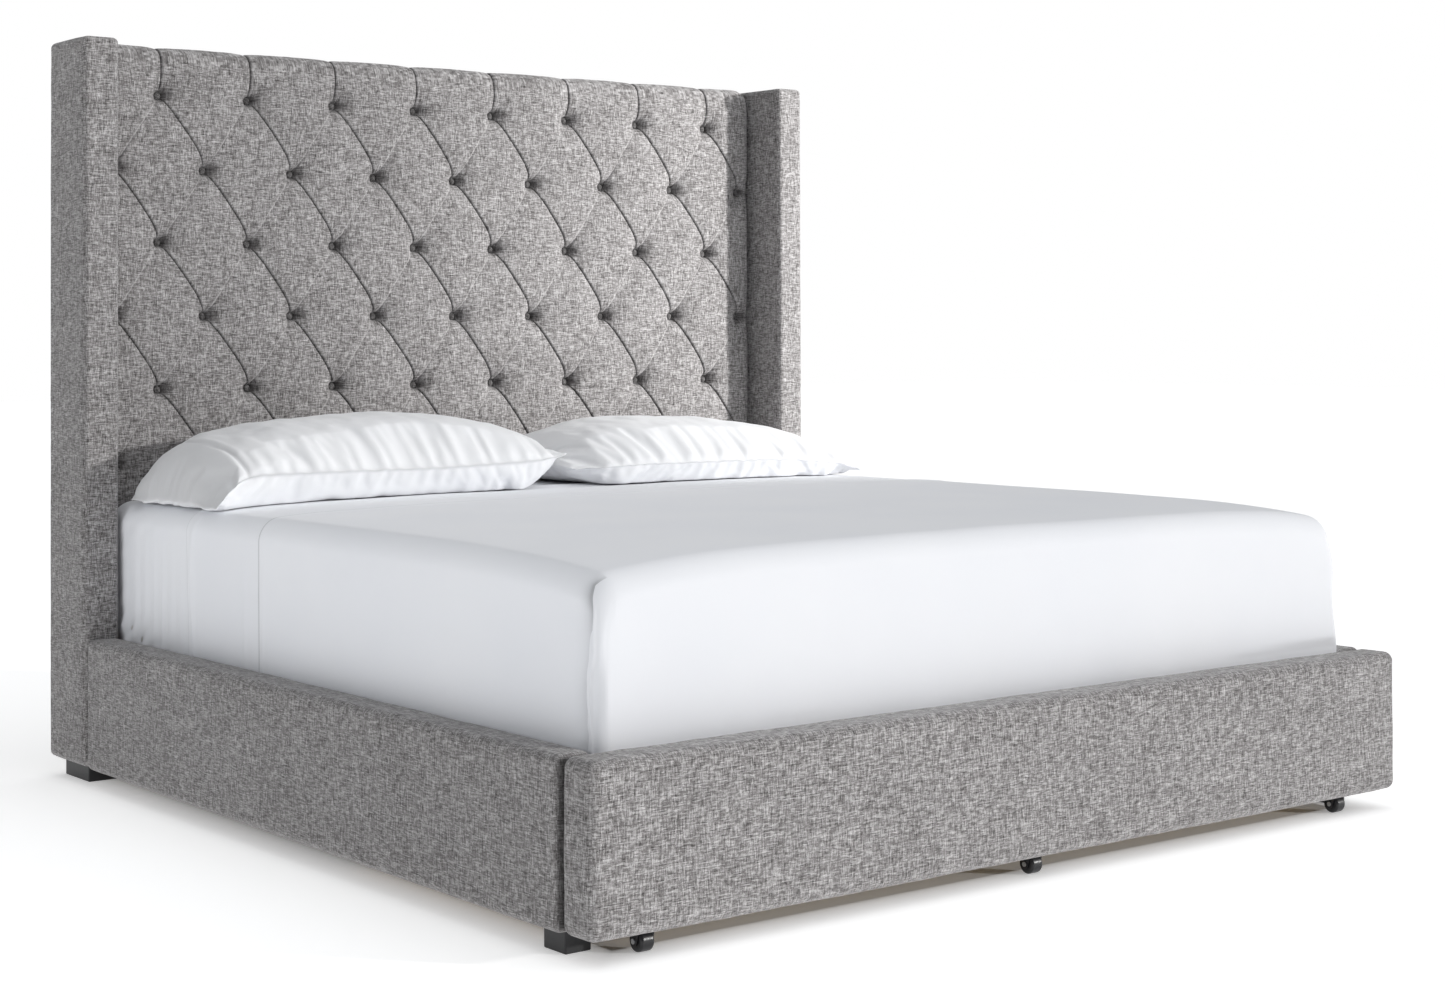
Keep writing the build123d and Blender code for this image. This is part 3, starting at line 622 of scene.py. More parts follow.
where = {(round(x, 4), round(z, 4)): r for x, z, r in buttons}
for x, z, r in buttons:
    for sx in (-1, 1):
        bx, bz = x + sx * PITCH / 2, z - ROWSTEP
        if (round(bx, 4), round(bz, 4)) in where:
            # both families arch upwards between their buttons
            if sx > 0:
                pleat((x, z), (bx, bz), RIGHT_BOW, rng.uniform(0.8, 1.25), "right")
            else:
                pleat((x, z), (bx, bz), LEFT_BOW, rng.uniform(0.6, 1.2), "left")
    if r == 0:
        pleat((x, z), (x + 0.004 * rng.uniform(-1, 1), TOP_Z + 0.075), NO_BOW, 1.0, "up")
    if r == ROWS - 1:
        pleat((x, z), (x, PAD_BOTTOM - 0.02), NO_BOW, 1.0, "down")
    if r % 2 == 1 and abs(x) > 0.9:
        pleat((x, z), (math.copysign(HALF + 0.02, x), z - 0.002), NO_BOW, 1.0, "side")

seg_a = np.concatenate([p["p"][:-1] for p in pleats])
seg_b = np.concatenate([p["p"][1:] for p in pleats])
seg_k = np.concatenate([[KINDS[p["kind"]]] * (len(p["p"]) - 1) for p in pleats])
seg_mid = KDTree(len(seg_a))
for i, m in enumerate((seg_a + seg_b) / 2):
    seg_mid.insert((m[0], m[1], 0.0), i)
seg_mid.balance()


def nearest_fold(q):
    """For points q: distance to the nearest fold, which side of it, its kind and its normal."""
    near = np.array([[h[1] for h in seg_mid.find_n((float(x), float(z), 0.0), 6)] for x, z in q])
    A, B = seg_a[near], seg_b[near]
    d = B - A
    rel = q[:, None, :] - A
    t = np.clip((rel * d).sum(2) / (d * d).sum(2), 0, 1)
    v = rel - t[..., None] * d
    dist = np.sqrt((v * v).sum(2))
    i = dist.argmin(1)
    rows = np.arange(len(q))
    d1 = d[rows, i]
    rel1 = rel[rows, i]
    u = d1 / np.linalg.norm(d1, axis=1)[:, None]
    return (dist[rows, i], np.sign(d1[:, 0] * rel1[:, 1] - d1[:, 1] * rel1[:, 0]),
            seg_k[near[rows, i]], np.stack([-u[:, 1], u[:, 0]], 1))


# fine creases that fan out from each button, closest together up and to the right
fans = []
for i, (x, z, r) in enumerate(buttons):
    mine = []
    for j in range(rng.randint(5, 7)):
        mine.append((rng.uniform(-0.75, 1.25), rng.uniform(0.0012, 0.0030), rng.uniform(0.014, 0.030),
                     rng.uniform(0.035, 0.080)))
    for j in range(rng.randint(2, 3)):
        mine.append((rng.uniform(0.75, 1.15), rng.uniform(0.0014, 0.0030), rng.uniform(0.032, 0.055),
                     rng.uniform(0.028, 0.050)))
    base = rng.uniform(0, 2 * math.pi)
    k = rng.randint(5, 7)
    for j in range(k):
        mine.append((base + 2 * math.pi * (j + rng.uniform(-0.3, 0.3)) / k, rng.uniform(0.0005, 0.0014),
                     rng.uniform(0.012, 0.026), rng.uniform(0.06, 0.12)))
    fans.append(mine)


def pad_height(q):
    """Height of the padding above the base surface, the sideways roll of the fold's lip, and masks of painted
    highlight and painted shade.
    """
    dist, side, kind, nrm = nearest_fold(q)
    dx = q[:, None, 0] - BXY[None, :, 0]
    dz = q[:, None, 1] - BXY[None, :, 1]
    rr = np.sqrt(dx * dx + dz * dz)
    near = rr.argmin(1)
    rb = rr[np.arange(len(q)), near]
    # a steep funnel at each button, and a nearly flat puff elsewhere
    g = 1 - np.exp(-(np.maximum(rb - 0.0070, 0) / 0.0175) ** 0.95)
    g = 0.03 + 0.97 * g
    away = smoothstep(0.012, 0.045, rb)          # 0 in the funnel, 1 out on the puff
    right, left, other = kind == 0, kind == 1, kind >= 2
    over = (right & (side > 0)) | (left & (side < 0)) | ((kind == 2) & (side < 0)) | ((kind > 2) & (side > 0))
    crisp = right | (kind == 2) | (kind == 4)
    h = CROWN * g
    # doming of each puff towards its middle
    h = h + 0.0030 * g * ((1 - np.exp(-dist / 0.030)) - 0.6)
    # pleats with a lip: one side rounded over, the other tucked beneath it
    step = np.where(over, -0.0012 * np.exp(-dist / 0.0030), -0.0058 * np.exp(-dist / 0.0130))
    slit = np.where(over, 0.5, 1.0) * 0.0085 * np.exp(-(dist / 0.0016) ** 2)
    h = h + np.where(crisp, step * (0.35 + 0.65 * away) - slit * (0.25 + 0.75 * away), 0)
    # shallow pleats: a low step down towards the lower right, deeper close to the buttons
    low = np.where(over, 0.0007 * np.exp(-dist / 0.0060), -0.0020 * np.exp(-dist / 0.0160))
    groove = 0.0042 * np.exp(-(dist / 0.0034) ** 2) * np.exp(-np.maximum(rb - 0.014, 0) / 0.026)
    line = 0.0011 * np.exp(-(dist / 0.0010) ** 2)
    h = h + np.where(~crisp, low * (0.4 + 0.6 * away) - groove - line * away, 0)
    # fan creases
    ang = np.arctan2(dz[np.arange(len(q)), near], dx[np.arange(len(q)), near])
    crease = np.zeros(len(q))
    for b in range(len(buttons)):
        m = np.nonzero((near == b) & (rb < 0.11))[0]
        if len(m) == 0:
            continue
        for a0, depth, reach, width in fans[b]:
            da = np.abs((ang[m] - a0 + np.pi) % (2 * np.pi) - np.pi)
            crease[m] += depth * np.exp(-(da / width) ** 2) * np.exp(-np.maximum(rb[m] - 0.014, 0) / reach) \
                * smoothstep(0.009, 0.018, rb[m])
    h = h - crease
    # the seat under the button
    seat = smoothstep(0.0125, 0.0070, rb)
    h = h * (1 - seat) - 0.0030 * seat
    # drawn in at the wings
    edge = HALF - np.abs(q[:, 0])
    h = h * (0.05 + 0.95 * (1 - np.exp(-(np.maximum(edge, 0) / 0.013) ** 1.15)))
    # thinner over the top, tucked in at the bottom
    h = h * (1 - 0.34 * smoothstep(TOP_Z - 0.05, TOP_Z + 0.03, q[:, 1]))
    h = h * smoothstep(PAD_BOTTOM - 0.004, PAD_BOTTOM + 0.035, q[:, 1])
    # the lip rolls over the line of the fold
    roll = np.where(crisp & over, 0.0030 * np.exp(-dist / 0.0048), 0) + np.where(left & over, 0.0006 * np.exp(-dist / 0.004), 0)
    roll = roll * smoothstep(0.013, 0.035, rb) * smoothstep(0.0, 0.02, edge)
    lateral = -nrm * (np.where(side == 0, 0, side) * roll)[:, None]
    # painted highlight along the fold crests, and painted shade in the slits of the crisp folds and in the button
    # funnels
    crest = np.where(left, np.exp(-((dist - 0.0003) / 0.0013) ** 2) * np.where(over, 1.0, 0.8), 0) \
        + np.where(crisp & over, 0.35 * np.exp(-((dist - 0.0042) / 0.0016) ** 2), 0)
    crest = crest * smoothstep(0.014, 0.030, rb)
    painted_shade = np.where(crisp, np.exp(-(dist / 0.0017) ** 2), 0) * smoothstep(0.008, 0.02, rb)
    # painted shade in each button funnel, wider and stronger towards the right, where the wall faces away from the
    # light
    to_right = np.exp(-((ang - 0.20) / 0.95) ** 2)
    painted_shade = np.maximum(painted_shade, (0.55 + 0.45 * to_right) * smoothstep(0.020 + 0.026 * to_right, 0.006, rb) ** 1.3)
    return h, lateral, crest, painted_shade


def base_surface(x, w):
    """Fabric height w up the pad, then over the rounded top and back: point and outward normal."""
    z0 = TOP_Z - ARC
    arc = (math.pi / 2) * ARC
    y = np.full(len(w), PLANE_Y)
    z = np.minimum(w, z0).copy()
    ny, nz = -np.ones(len(w)), np.zeros(len(w))
    on = (w > z0) & (w <= z0 + arc)
    a = (w[on] - z0) / ARC
    y[on] = PLANE_Y + ARC - ARC * np.cos(a)
    z[on] = z0 + ARC * np.sin(a)
    ny[on], nz[on] = -np.cos(a), np.sin(a)
    flat = w > z0 + arc
    y[flat] = PLANE_Y + ARC + (w[flat] - z0 - arc)
    z[flat] = TOP_Z
    ny[flat], nz[flat] = 0.0, 1.0
    return np.stack([x, y, z], 1), np.stack([np.zeros(len(w)), ny, nz], 1)


W_TOP = TOP_Z + 0.040        # where the fabric ends on the back of the top
pts, edges_c = [], []


def inside(p):
    return abs(p[0]) < HALF - 0.0012 and PAD_BOTTOM + 0.0012 < p[1] < W_TOP - 0.0012


grid_cell = {}


def add_point(p, gap):
    """Adds p unless another point is nearer than gap. Returns its index or None."""
    key = (int(p[0] / 0.004), int(p[1] / 0.004))
    reach = int(gap / 0.004) + 1
    for i in range(key[0] - reach, key[0] + reach + 1):
        for j in range(key[1] - reach, key[1] + reach + 1):
            for k in grid_cell.get((i, j), ()):
                q = pts[k]
                if (q[0] - p[0]) ** 2 + (q[1] - p[1]) ** 2 < gap * gap:
                    return None
    grid_cell.setdefault(key, []).append(len(pts))
    pts.append((float(p[0]), float(p[1])))
    return len(pts) - 1


# border
nb_x, nb_w = 190, 120
border = []
for x in np.linspace(-HALF, HALF, nb_x)[:-1]:
    border.append((x, PAD_BOTTOM))
for w in np.linspace(PAD_BOTTOM, W_TOP, nb_w)[:-1]:
    border.append((HALF, w))
for x in np.linspace(HALF, -HALF, nb_x)[:-1]:
    border.append((x, W_TOP))
for w in np.linspace(W_TOP, PAD_BOTTOM, nb_w)[:-1]:
    border.append((-HALF, w))
ids = [add_point(p, 1e-6) for p in border]
edges_c += [(ids[i], ids[(i + 1) % len(ids)]) for i in range(len(ids))]
# fold lines and the rows of points beside them
for pl in pleats:
    last = None
    for p in pl["p"]:
        if not inside(p):
            last = None
            continue
        k = add_point(p, 0.0008)
        if k is not None and last is not None:
            edges_c.append((last, k))
        last = k
for off, gap in ((0.0009, 0.0007), (0.0019, 0.0010), (0.0032, 0.0013), (0.0050, 0.0017), (0.0078, 0.0025), (0.0115, 0.0034),
                 (0.017, 0.005)):
    for pl in pleats:
        d = np.gradient(pl["p"], axis=0)
        d /= np.linalg.norm(d, axis=1)[:, None]
        n = np.stack([-d[:, 1], d[:, 0]], 1)
        for s in (-1, 1):
            for p in pl["p"] + n * off * s:
                if inside(p):
                    add_point(p, gap)
for x, z, r in buttons:
    for rad, cnt in ((0.004, 8), (0.008, 14), (0.0105, 20), (0.0135, 26), (0.017, 32), (0.021, 38), (0.026, 44), (0.032, 48), (0.039, 52), (0.048, 56), (0.058, 60)):
        for k in range(cnt):
            a = 2 * math.pi * (k + 0.5 * (cnt % 4 == 0)) / cnt
            p = (x + rad * math.cos(a), z + rad * math.sin(a))
            if inside(p):
                add_point(p, min(0.0035, 0.0012 + rad * 0.05))
step = 0.0085
for j, w in enumerate(np.arange(PAD_BOTTOM + step, W_TOP, step * 0.866)):
    for x in np.arange(-HALF + step * (0.5 if j % 2 else 1.0), HALF, step):
        if inside((x, w)):
            add_point((x, w), step * 0.62)
# closer rows where the fabric turns over the top
for w in np.linspace(TOP_Z - 0.03, TOP_Z + 0.03, 12):
    for x in np.arange(-HALF + 0.004, HALF, 0.008):
        add_point((x, w), 0.0035)

res = delaunay_2d_cdt([Vector(p) for p in pts], edges_c, [], 1, 1e-7)
q = np.array([(v.x, v.y) for v in res[0]])
tri = [tuple(f) for f in res[2]]
h, lateral, crest, painted_shade = pad_height(q)
q2 = q + lateral
q2[:, 0] = np.clip(q2[:, 0], -HALF, HALF)
p0, nrm0 = base_surface(q2[:, 0], q2[:, 1])
soft = 0.0007 * fbm(np.stack([q[:, 0], np.zeros(len(q)), q[:, 1]], 1), 22.0, 2, 3)
P = p0 + nrm0 * (h + soft)[:, None]
tris = []
for a, b, c in tri:
    A, B, C = q[a], q[b], q[c]
    cr = (B[0] - A[0]) * (C[1] - A[1]) - (B[1] - A[1]) * (C[0] - A[0])
    tris.append((a, b, c) if cr > 0 else (a, c, b))
panel = make_mesh("headboard_tufted_panel", P, tris, q, mat=LINEN_PAINTED_LIGHT)
# store the painted highlight and painted shade masks as point attributes
for attr, values in (("crest", crest), ("painted_shade", painted_shade)):
    layer = panel.data.attributes.new(attr, "FLOAT", "POINT")
    layer.data.foreach_set("value", np.clip(values, 0, 1).astype(np.float32))
place(panel, ROOT, ["headboard_tufted_pad"])
print("tufted panel points", len(P), "faces", len(tris))

# covered buttons, in the darkened linen copy that paints their shade
prof = [(0.0, -0.0040), (0.0028, -0.0038), (0.0052, -0.0031), (0.0072, -0.0018), (0.0084, 0.0),
        (0.0087, 0.0015), (0.0081, 0.0030), (0.0064, 0.0037), (0.0, 0.0039)]
bv, bf, buv = [], [], []
SEG = 24
for x, z, r in buttons:
    o = len(bv)
    turn = rng.uniform(0, 6.28)
    tilt_x, tilt_z = rng.uniform(-0.12, 0.12), rng.uniform(-0.12, 0.12)
    for i, (rad, dy) in enumerate(prof):
        for k in range(SEG if 0 < i < len(prof) - 1 else 1):
            a = 2 * math.pi * k / SEG
            px, pz = rad * math.cos(a), rad * math.sin(a)
            y = PLANE_Y - 0.0030 + dy + px * tilt_x + pz * tilt_z
            bv.append((x + px, y, z + pz))
            buv.append((x + px * math.cos(turn) - pz * math.sin(turn), z + px * math.sin(turn) + pz * math.cos(turn)))
    first = o
    ring = lambda i: o + 1 + (i - 1) * SEG
    last = o + 1 + (len(prof) - 2) * SEG
    for k in range(SEG):
        k2 = (k + 1) % SEG
        bf.append((first, ring(1) + k, ring(1) + k2))
        for i in range(1, len(prof) - 2):
            bf.append((ring(i) + k, ring(i + 1) + k, ring(i + 1) + k2, ring(i) + k2))
        bf.append((ring(len(prof) - 2) + k, last, ring(len(prof) - 2) + k2))
btn = make_mesh("headboard_covered_buttons", bv, bf, buv, mat=LINEN_BUTTONS_PAINTED_SHADE)
bm = bmesh.new(); bm.from_mesh(btn.data); bmesh.ops.recalc_face_normals(bm, faces=bm.faces); bm.to_mesh(btn.data); bm.free()
place(btn, ROOT, ["headboard_buttons"])

# plain lower panel
lo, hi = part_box("headboard_lower_panel")
lp = soft_box("headboard_plain_panel", lo, hi, 0.009, 0.02, LINEN, 21, 0.001)
place(lp, ROOT, ["headboard_lower_panel"])


# ------------------------------------------------------------------- wings
def paint_gap_shade(ob, y_end, reach):
    """Paints shade on the cloth that turns in at the end y = y_end, where the gap lies in shadow."""
    y = np.array([q.co.y for q in ob.data.vertices])
    layer = ob.data.attributes.new("painted_shade", "FLOAT", "POINT")
    layer.data.foreach_set("value", np.clip(1.15 - np.abs(y - y_end) / reach, 0, 1).astype(np.float32))


for side, s in (("left", -1), ("right", 1)):
    lo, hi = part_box(f"wing_cover_{side}")
    x_out = lo[0] if s < 0 else hi[0]
    x_in = hi[0] if s < 0 else lo[0]
    inset = 0.013

    def warp(p, v, n, s=s, lo=lo, hi=hi, x_in=x_in, x_out=x_out):
        # sewn line along the inner front edge and the outer front edge
        for ex in (x_in, x_out):
            sx = 1 if ex > (lo[0] + hi[0]) / 2 else -1
            d = np.abs(v[:, 0] - (ex - sx * 0.0)) + np.abs(v[:, 1] - (lo[1] + inset))
            side_face = np.abs(v[:, 0] - ex) < 1e-6
            g = np.exp(-((v[:, 1] - lo[1] - inset) / 0.0013) ** 2) * side_face
            p = p - n * (0.0018 * g)[:, None]
            ridge = np.exp(-((v[:, 1] - lo[1] - inset + 0.0042) / 0.0022) ** 2) * side_face
            p = p + n * (0.0007 * ridge)[:, None]
        return p

    extra_y = [lo[1] + inset + o for o in (-0.0065, -0.0042, -0.0022, -0.001, 0, 0.001, 0.0022, 0.004)]
    w = soft_box(f"wing_padded_{side}", lo, hi, 0.012, 0.022, LINEN, 31 + s, 0.0012, 0.0007,
                 at=((), extra_y, ()), warp=warp)
    place(w, ROOT, [f"wing_cover_{side}"])

    lo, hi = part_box(f"side_rail_cover_{side}")
    w = soft_box(f"side_rail_padded_{side}", lo, hi, 0.015, 0.022, LINEN_PAINTED_LIGHT, 41 + s, 0.0012, 0.0008)
    paint_gap_shade(w, lo[1], 0.0075)
    place(w, ROOT, [f"side_rail_cover_{side}"])

lo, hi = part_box("headboard_dust_cover")
dc = soft_box("headboard_back_cloth", lo, hi, 0.001, 0.03, DUST, 51, 0.0, 0.0003, edge=[0.0008])
place(dc, ROOT, ["headboard_dust_cover"])

# ------------------------------------------------------------ drawer front
lo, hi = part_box("drawer_front_cover")
df = soft_box("drawer_front_padded", lo, hi, 0.019, 0.022, LINEN_PAINTED_LIGHT, 61, 0.0014, 0.0009)
paint_gap_shade(df, hi[1], 0.0110)
place(df, DRAWER, ["drawer_front_cover"])


# ----------------------------------------------------------------- bedding
MX, MY0, MY1, MZ0, MZ1 = 0.957, -1.008, 1.006, 0.295, 0.650


def bed_drop(p):
    """How far the made bed's top lies below its middle: a little at the sides, more at the foot corners."""
    tx = np.clip(np.abs(p[:, 0]) / MX, 0, 1.02)
    ty = np.clip(-p[:, 1] / 1.0, 0, 1.02)
    up = smoothstep(0.40, 0.64, p[:, 2])
    return up * (0.004 * tx ** 2 + 0.012 * tx ** 7 + 0.006 * ty ** 6 + 0.020 * (tx * ty) ** 5)


def noise_line(a, row=1.7):
    return np.array([noise.noise(Vector((float(x), row, 0.3))) for x in a])


def add_painted_shade(ob, values):
    layer = ob.data.attributes.new("painted_shade", "FLOAT", "POINT")
    layer.data.foreach_set("value", np.clip(values, 0, 1).astype(np.float32))


def make_cover(name, grow, y_lo, y_hi, hem_z, step, mat, seed, slot_nodes, shape, at_y=(), y_step=None, shade=None):
    """Builds one bed layer as a skin over the rounded mattress block, open below and where it ends on top."""
    lo = np.array([-MX - grow, MY0 - grow, hem_z])
    hi = np.array([MX + grow, MY1 + grow, MZ1 + grow])
    if y_lo is not None:
        lo[1] = y_lo
    if y_hi is not None:
        hi[1] = y_hi
    RX, RZ = 0.026, 0.046
    ex = [RX * f for f in (0.1, 0.28, 0.46, 0.64, 0.82, 1.0, 1.4, 2.2, 3.0)]
    ez = [RZ * f for f in (0.08, 0.2, 0.32, 0.44, 0.56, 0.68, 0.8, 0.92, 1.1, 1.35)]
    xs = spaced(lo[0], hi[0], step, sorted(set(ex + ez)))
    ys = spaced(lo[1], hi[1], y_step or step, sorted(set(ex + ez)) if y_lo is None else (0.0015, 0.004), at_y)
    zs = spaced(lo[2], hi[2], step, [e for e in ez])
    v, f, uv = box_grid(xs, ys, zs, open_bottom=True)
    keep = []
    for i, q in enumerate(f):
        pts_ = v[q]
        if y_hi is not None and np.all(np.abs(pts_[:, 1] - hi[1]) < 1e-6):
            continue
        if y_lo is not None and np.all(np.abs(pts_[:, 1] - lo[1]) < 1e-6):
            continue
        keep.append(i)
    uvq = np.array(uv).reshape(-1, 4, 2)[keep].reshape(-1, 2)
    f = [f[i] for i in keep]
    blo = np.array([-MX - grow, MY0 - grow, 0.1])
    bhi = np.array([MX + grow, MY1 + grow, MZ1 + grow])
    if y_lo is not None:
        blo[1] = -5.0
    if y_hi is not None:
        bhi[1] = 5.0
    rc = np.array([RX, RX, RZ])
    rc_top = np.array([RZ, RZ, RZ])
    # tight upright corners below, softer where the top turns over
    blend = smoothstep(MZ1 - 0.10, MZ1 - 0.03, v[:, 2])[:, None]
    r = rc * (1 - blend) + rc_top * blend
    c = np.clip(v, blo + r, bhi - r)
    d = (v - c) / r
    m = np.abs(d).max(1)
    n_ = np.linalg.norm(d, axis=1)
    k = np.where(n_ > 1e-9, m / np.maximum(n_, 1e-9), 1)
    p = c + d * k[:, None] * r
    nn = d / np.maximum(n_, 1e-9)[:, None]
    p = shape(p, v, nn)
    p[:, 2] -= bed_drop(p)
    used = sorted({i for q in f for i in q})
    remap = {a: b for b, a in enumerate(used)}
    ob = make_mesh(name, p[used], [[remap[i] for i in q] for q in f], uvq, mat=mat)
    # painted shade along the cover's open edges, plus any painted shade that the shade function gives
    painted_shade = np.zeros(len(v))
    if y_hi is not None and y_lo is None:
        painted_shade = 0.75 * np.exp(-((v[:, 1] - y_hi) / 0.0030) ** 2)
    if y_lo is not None:
        painted_shade = 0.80 * np.exp(-((v[:, 1] - y_lo) / 0.0022) ** 2) + 0.22 * np.exp(-((v[:, 1] - y_hi) / 0.0025) ** 2)
    if shade is not None:
        painted_shade = np.maximum(painted_shade, shade(p, v))
    add_painted_shade(ob, painted_shade[used])
    sub = ob.modifiers.new("smooth", "SUBSURF")
    sub.levels = sub.render_levels = 1
    apply_modifiers(ob)
    place(ob, ROOT, slot_nodes)
    return ob


def shape_fitted(p, v, n):
    w = 0.0014 * fbm(p, 6.0, 3, 71)
    side = np.clip((np.abs(n[:, 0]) - 0.5) * 2, 0, 1)
    # puckers climb from the elastic hem, most of them close to the headboard
    s = np.clip((0.63 - p[:, 2]) / 0.28, 0, 1)
    head = smoothstep(0.55, 0.95, p[:, 1])
    puck = np.sin(p[:, 1] * 120 + 4 * noise_line(p[:, 1] * 5)) * 0.0018
    diag = np.sin((p[:, 1] * 0.75 + p[:, 2] * 1.1) * 95 + 3 * noise_line(p[:, 2] * 7, 4.1)) * 0.0034 * head
    w = w + (puck * s + diag * (0.3 + 0.7 * s)) * side
    return p + n * (w - 0.001)[:, None]


def shape_band(p, v, n):
    side = np.clip((np.abs(n[:, 0]) - 0.3) / 0.7, 0, 1)
    top = 1 - side
    w = 0.0015 * fbm(p * np.array([1.0, 0.7, 1.0]), 5.0, 3, 84)
    hang = np.clip((MZ1 - p[:, 2]) / 0.33, 0, 1)
    # a soft upright fold near the head-side hem, and small ripples beside the coverlet
    w = w + side * 0.0042 * np.exp(-((p[:, 1] - 0.532 - 0.010 * np.sin(p[:, 2] * 16)) / 0.011) ** 2)
    w = w + side * hang * 0.0030 * np.exp(-((p[:, 1] - 0.285 - 0.02 * (p[:, 2] - 0.5)) / 0.009) ** 2)
    w = w + top * 0.0026 * np.sin(p[:, 1] * 46 + 2.2 * noise_line(p[:, 0] * 2.2)) * smoothstep(0.9, 0.2, np.abs(p[:, 0]))
    out = p + n * w[:, None]
    # the hem wanders
    edge = smoothstep(0.50, 0.56, v[:, 1])
    out[:, 1] += edge * (0.006 * np.sin(p[:, 2] * 11 + 1.0) + 0.004 * noise_line(p[:, 0] * 3, 6.0))
    return out


FLAP = 0.020                 # from the foot to the upright edge of the tucked corner


# painted shade in the valley behind the tucked corner's upright edge
def shade_corner(p, v):
    dv = v[:, 1] - (MY0 - 0.0080 + FLAP)
    low = smoothstep(0.628, 0.600, p[:, 2]) * (np.abs(p[:, 0]) > 0.93)
    return low * np.where(dv > 0.0006, 0.80 * np.exp(-np.maximum(dv - 0.006, 0) / 0.014), 0.0)


def shape_cover(p, v, n):
    side = np.clip((np.abs(n[:, 0]) - 0.3) / 0.7, 0, 1)
    foot = np.clip((-n[:, 1] - 0.3) / 0.7, 0, 1)
    topw = np.clip((n[:, 2] - 0.3) / 0.7, 0, 1)
    w = 0.0030 * fbm(p * np.array([1.0, 0.55, 1.0]), 2.6, 3, 81) * (0.4 + 0.6 * topw)
    hang = np.clip((MZ1 - p[:, 2]) / 0.33, 0, 1)
    w2 = 0.0040 * hang * fbm(np.stack([p[:, 0], p[:, 1], p[:, 2] * 0.25], 1), 4.0, 2, 83) * (side + foot)
    out = p + n * (w + w2)[:, None]
    y0 = MY0 - 0.0080
    down = smoothstep(0.628, 0.585, p[:, 2])
    middle = 0.60 + 0.40 * np.sin(np.clip((p[:, 2] - 0.31) / 0.30, 0, 1) * math.pi)
    # the tucked corner: the foot's flap ends in an upright edge, and the side cloth sinks in behind it
    dv = v[:, 1] - (y0 + FLAP)
    near_corner = np.exp(-(np.maximum(np.abs(dv) - 0.02, 0) / 0.05) ** 2)
    s_curve = 0.0070 * np.sin((p[:, 2] - 0.335) * 20) + 0.0025 * np.sin(p[:, 2] * 47)
    behind = np.where(dv > 0, (1 - np.exp(-dv / 0.0018)) * np.exp(-dv / 0.026), 0)
    valley = 0.0210 * behind * middle
    lip = 0.0030 * np.exp(-((dv + 0.0035) / 0.0040) ** 2)
    wr = 0.0026 * np.sin(p[:, 2] * 105 + 60 * dv + 5 * noise_line(p[:, 2] * 9, 2.0)) * behind
    out[:, 0] -= np.sign(p[:, 0]) * (valley - lip + wr) * side * down
    out[:, 1] += s_curve * near_corner * side * down
    # fuller low down on the right of the foot
    full = smoothstep(0.50, 0.33, p[:, 2]) * smoothstep(0.55, 0.95, p[:, 0])
    out[:, 1] -= foot * 0.010 * full
    out[:, 0] += side * 0.008 * full * smoothstep(-0.6, -0.95, p[:, 1])
    # low down, the foot stays clear of the drawer front
    limit = -1.0165 - 0.012 * smoothstep(0.345, 0.375, p[:, 2])
    out[:, 1] = np.maximum(out[:, 1], limit)
    # a hem rib along the head-side edge
    out += n * (0.0016 * np.exp(-((v[:, 1] - 0.196) / 0.004) ** 2))[:, None]
    return out


# mattress inside the bedding
lo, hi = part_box("mattress")


def sink(p, v, n):
    p = p.copy()
    p[:, 2] -= bed_drop(p) * 1.02
    return p


mt = soft_box("mattress_ticked", (lo[0] + 0.004, lo[1] + 0.004, lo[2]), (hi[0] - 0.004, hi[1] - 0.004, hi[2] - 0.005),
              0.040, 0.05, TICKING, 71, 0.0, 0.0004, warp=sink)
place(mt, ROOT, ["mattress"])

fitted = make_cover("fitted_sheet_cotton", 0.0005, None, None, 0.318, 0.024, COTTON, 1, ["fitted_sheet"],
                    shape_fitted, at_y=list(np.arange(0.53, 0.99, 0.010)))
band = make_cover("turned_down_sheet_cotton", 0.0045, 0.218, 0.560, 0.306, 0.018, COTTON, 2, ["turned_down_sheet"],
                  shape_band, y_step=0.0065)
cover = make_cover("coverlet_cotton", 0.0080, None, 0.2145, 0.304, 0.022, COTTON, 3, ["coverlet"],
                   shape_cover,
                   at_y=[MY0 - 0.0080 + FLAP + o for o in (-0.009, -0.0065, -0.0045, -0.003, -0.0015, 0.0, 0.0012, 0.0026, 0.0045,
                                                          0.007, 0.010, 0.014, 0.019, 0.025, 0.033, 0.043, 0.055, 0.07, 0.09)],
                   shade=shade_corner)


# ----------------------------------------------------------------- pillows
def bed_top(x, y):
    p = np.stack([x, y, np.full(len(x), MZ1)], 1)
    return MZ1 + 0.0050 - bed_drop(p)


def curve(t, table):
    """Smooth interpolation through (t, value) pairs."""
    fine = np.linspace(-1, 1, 161)
    y = np.interp(fine, [a for a, b in table], [b for a, b in table])
    k = np.hanning(23)[1:-1]
    pad = np.concatenate([2 * y[0] - y[10:0:-1], y, 2 * y[-1] - y[-2:-12:-1]])
    return np.interp(t, fine, np.convolve(pad, k / k.sum(), "valid"))


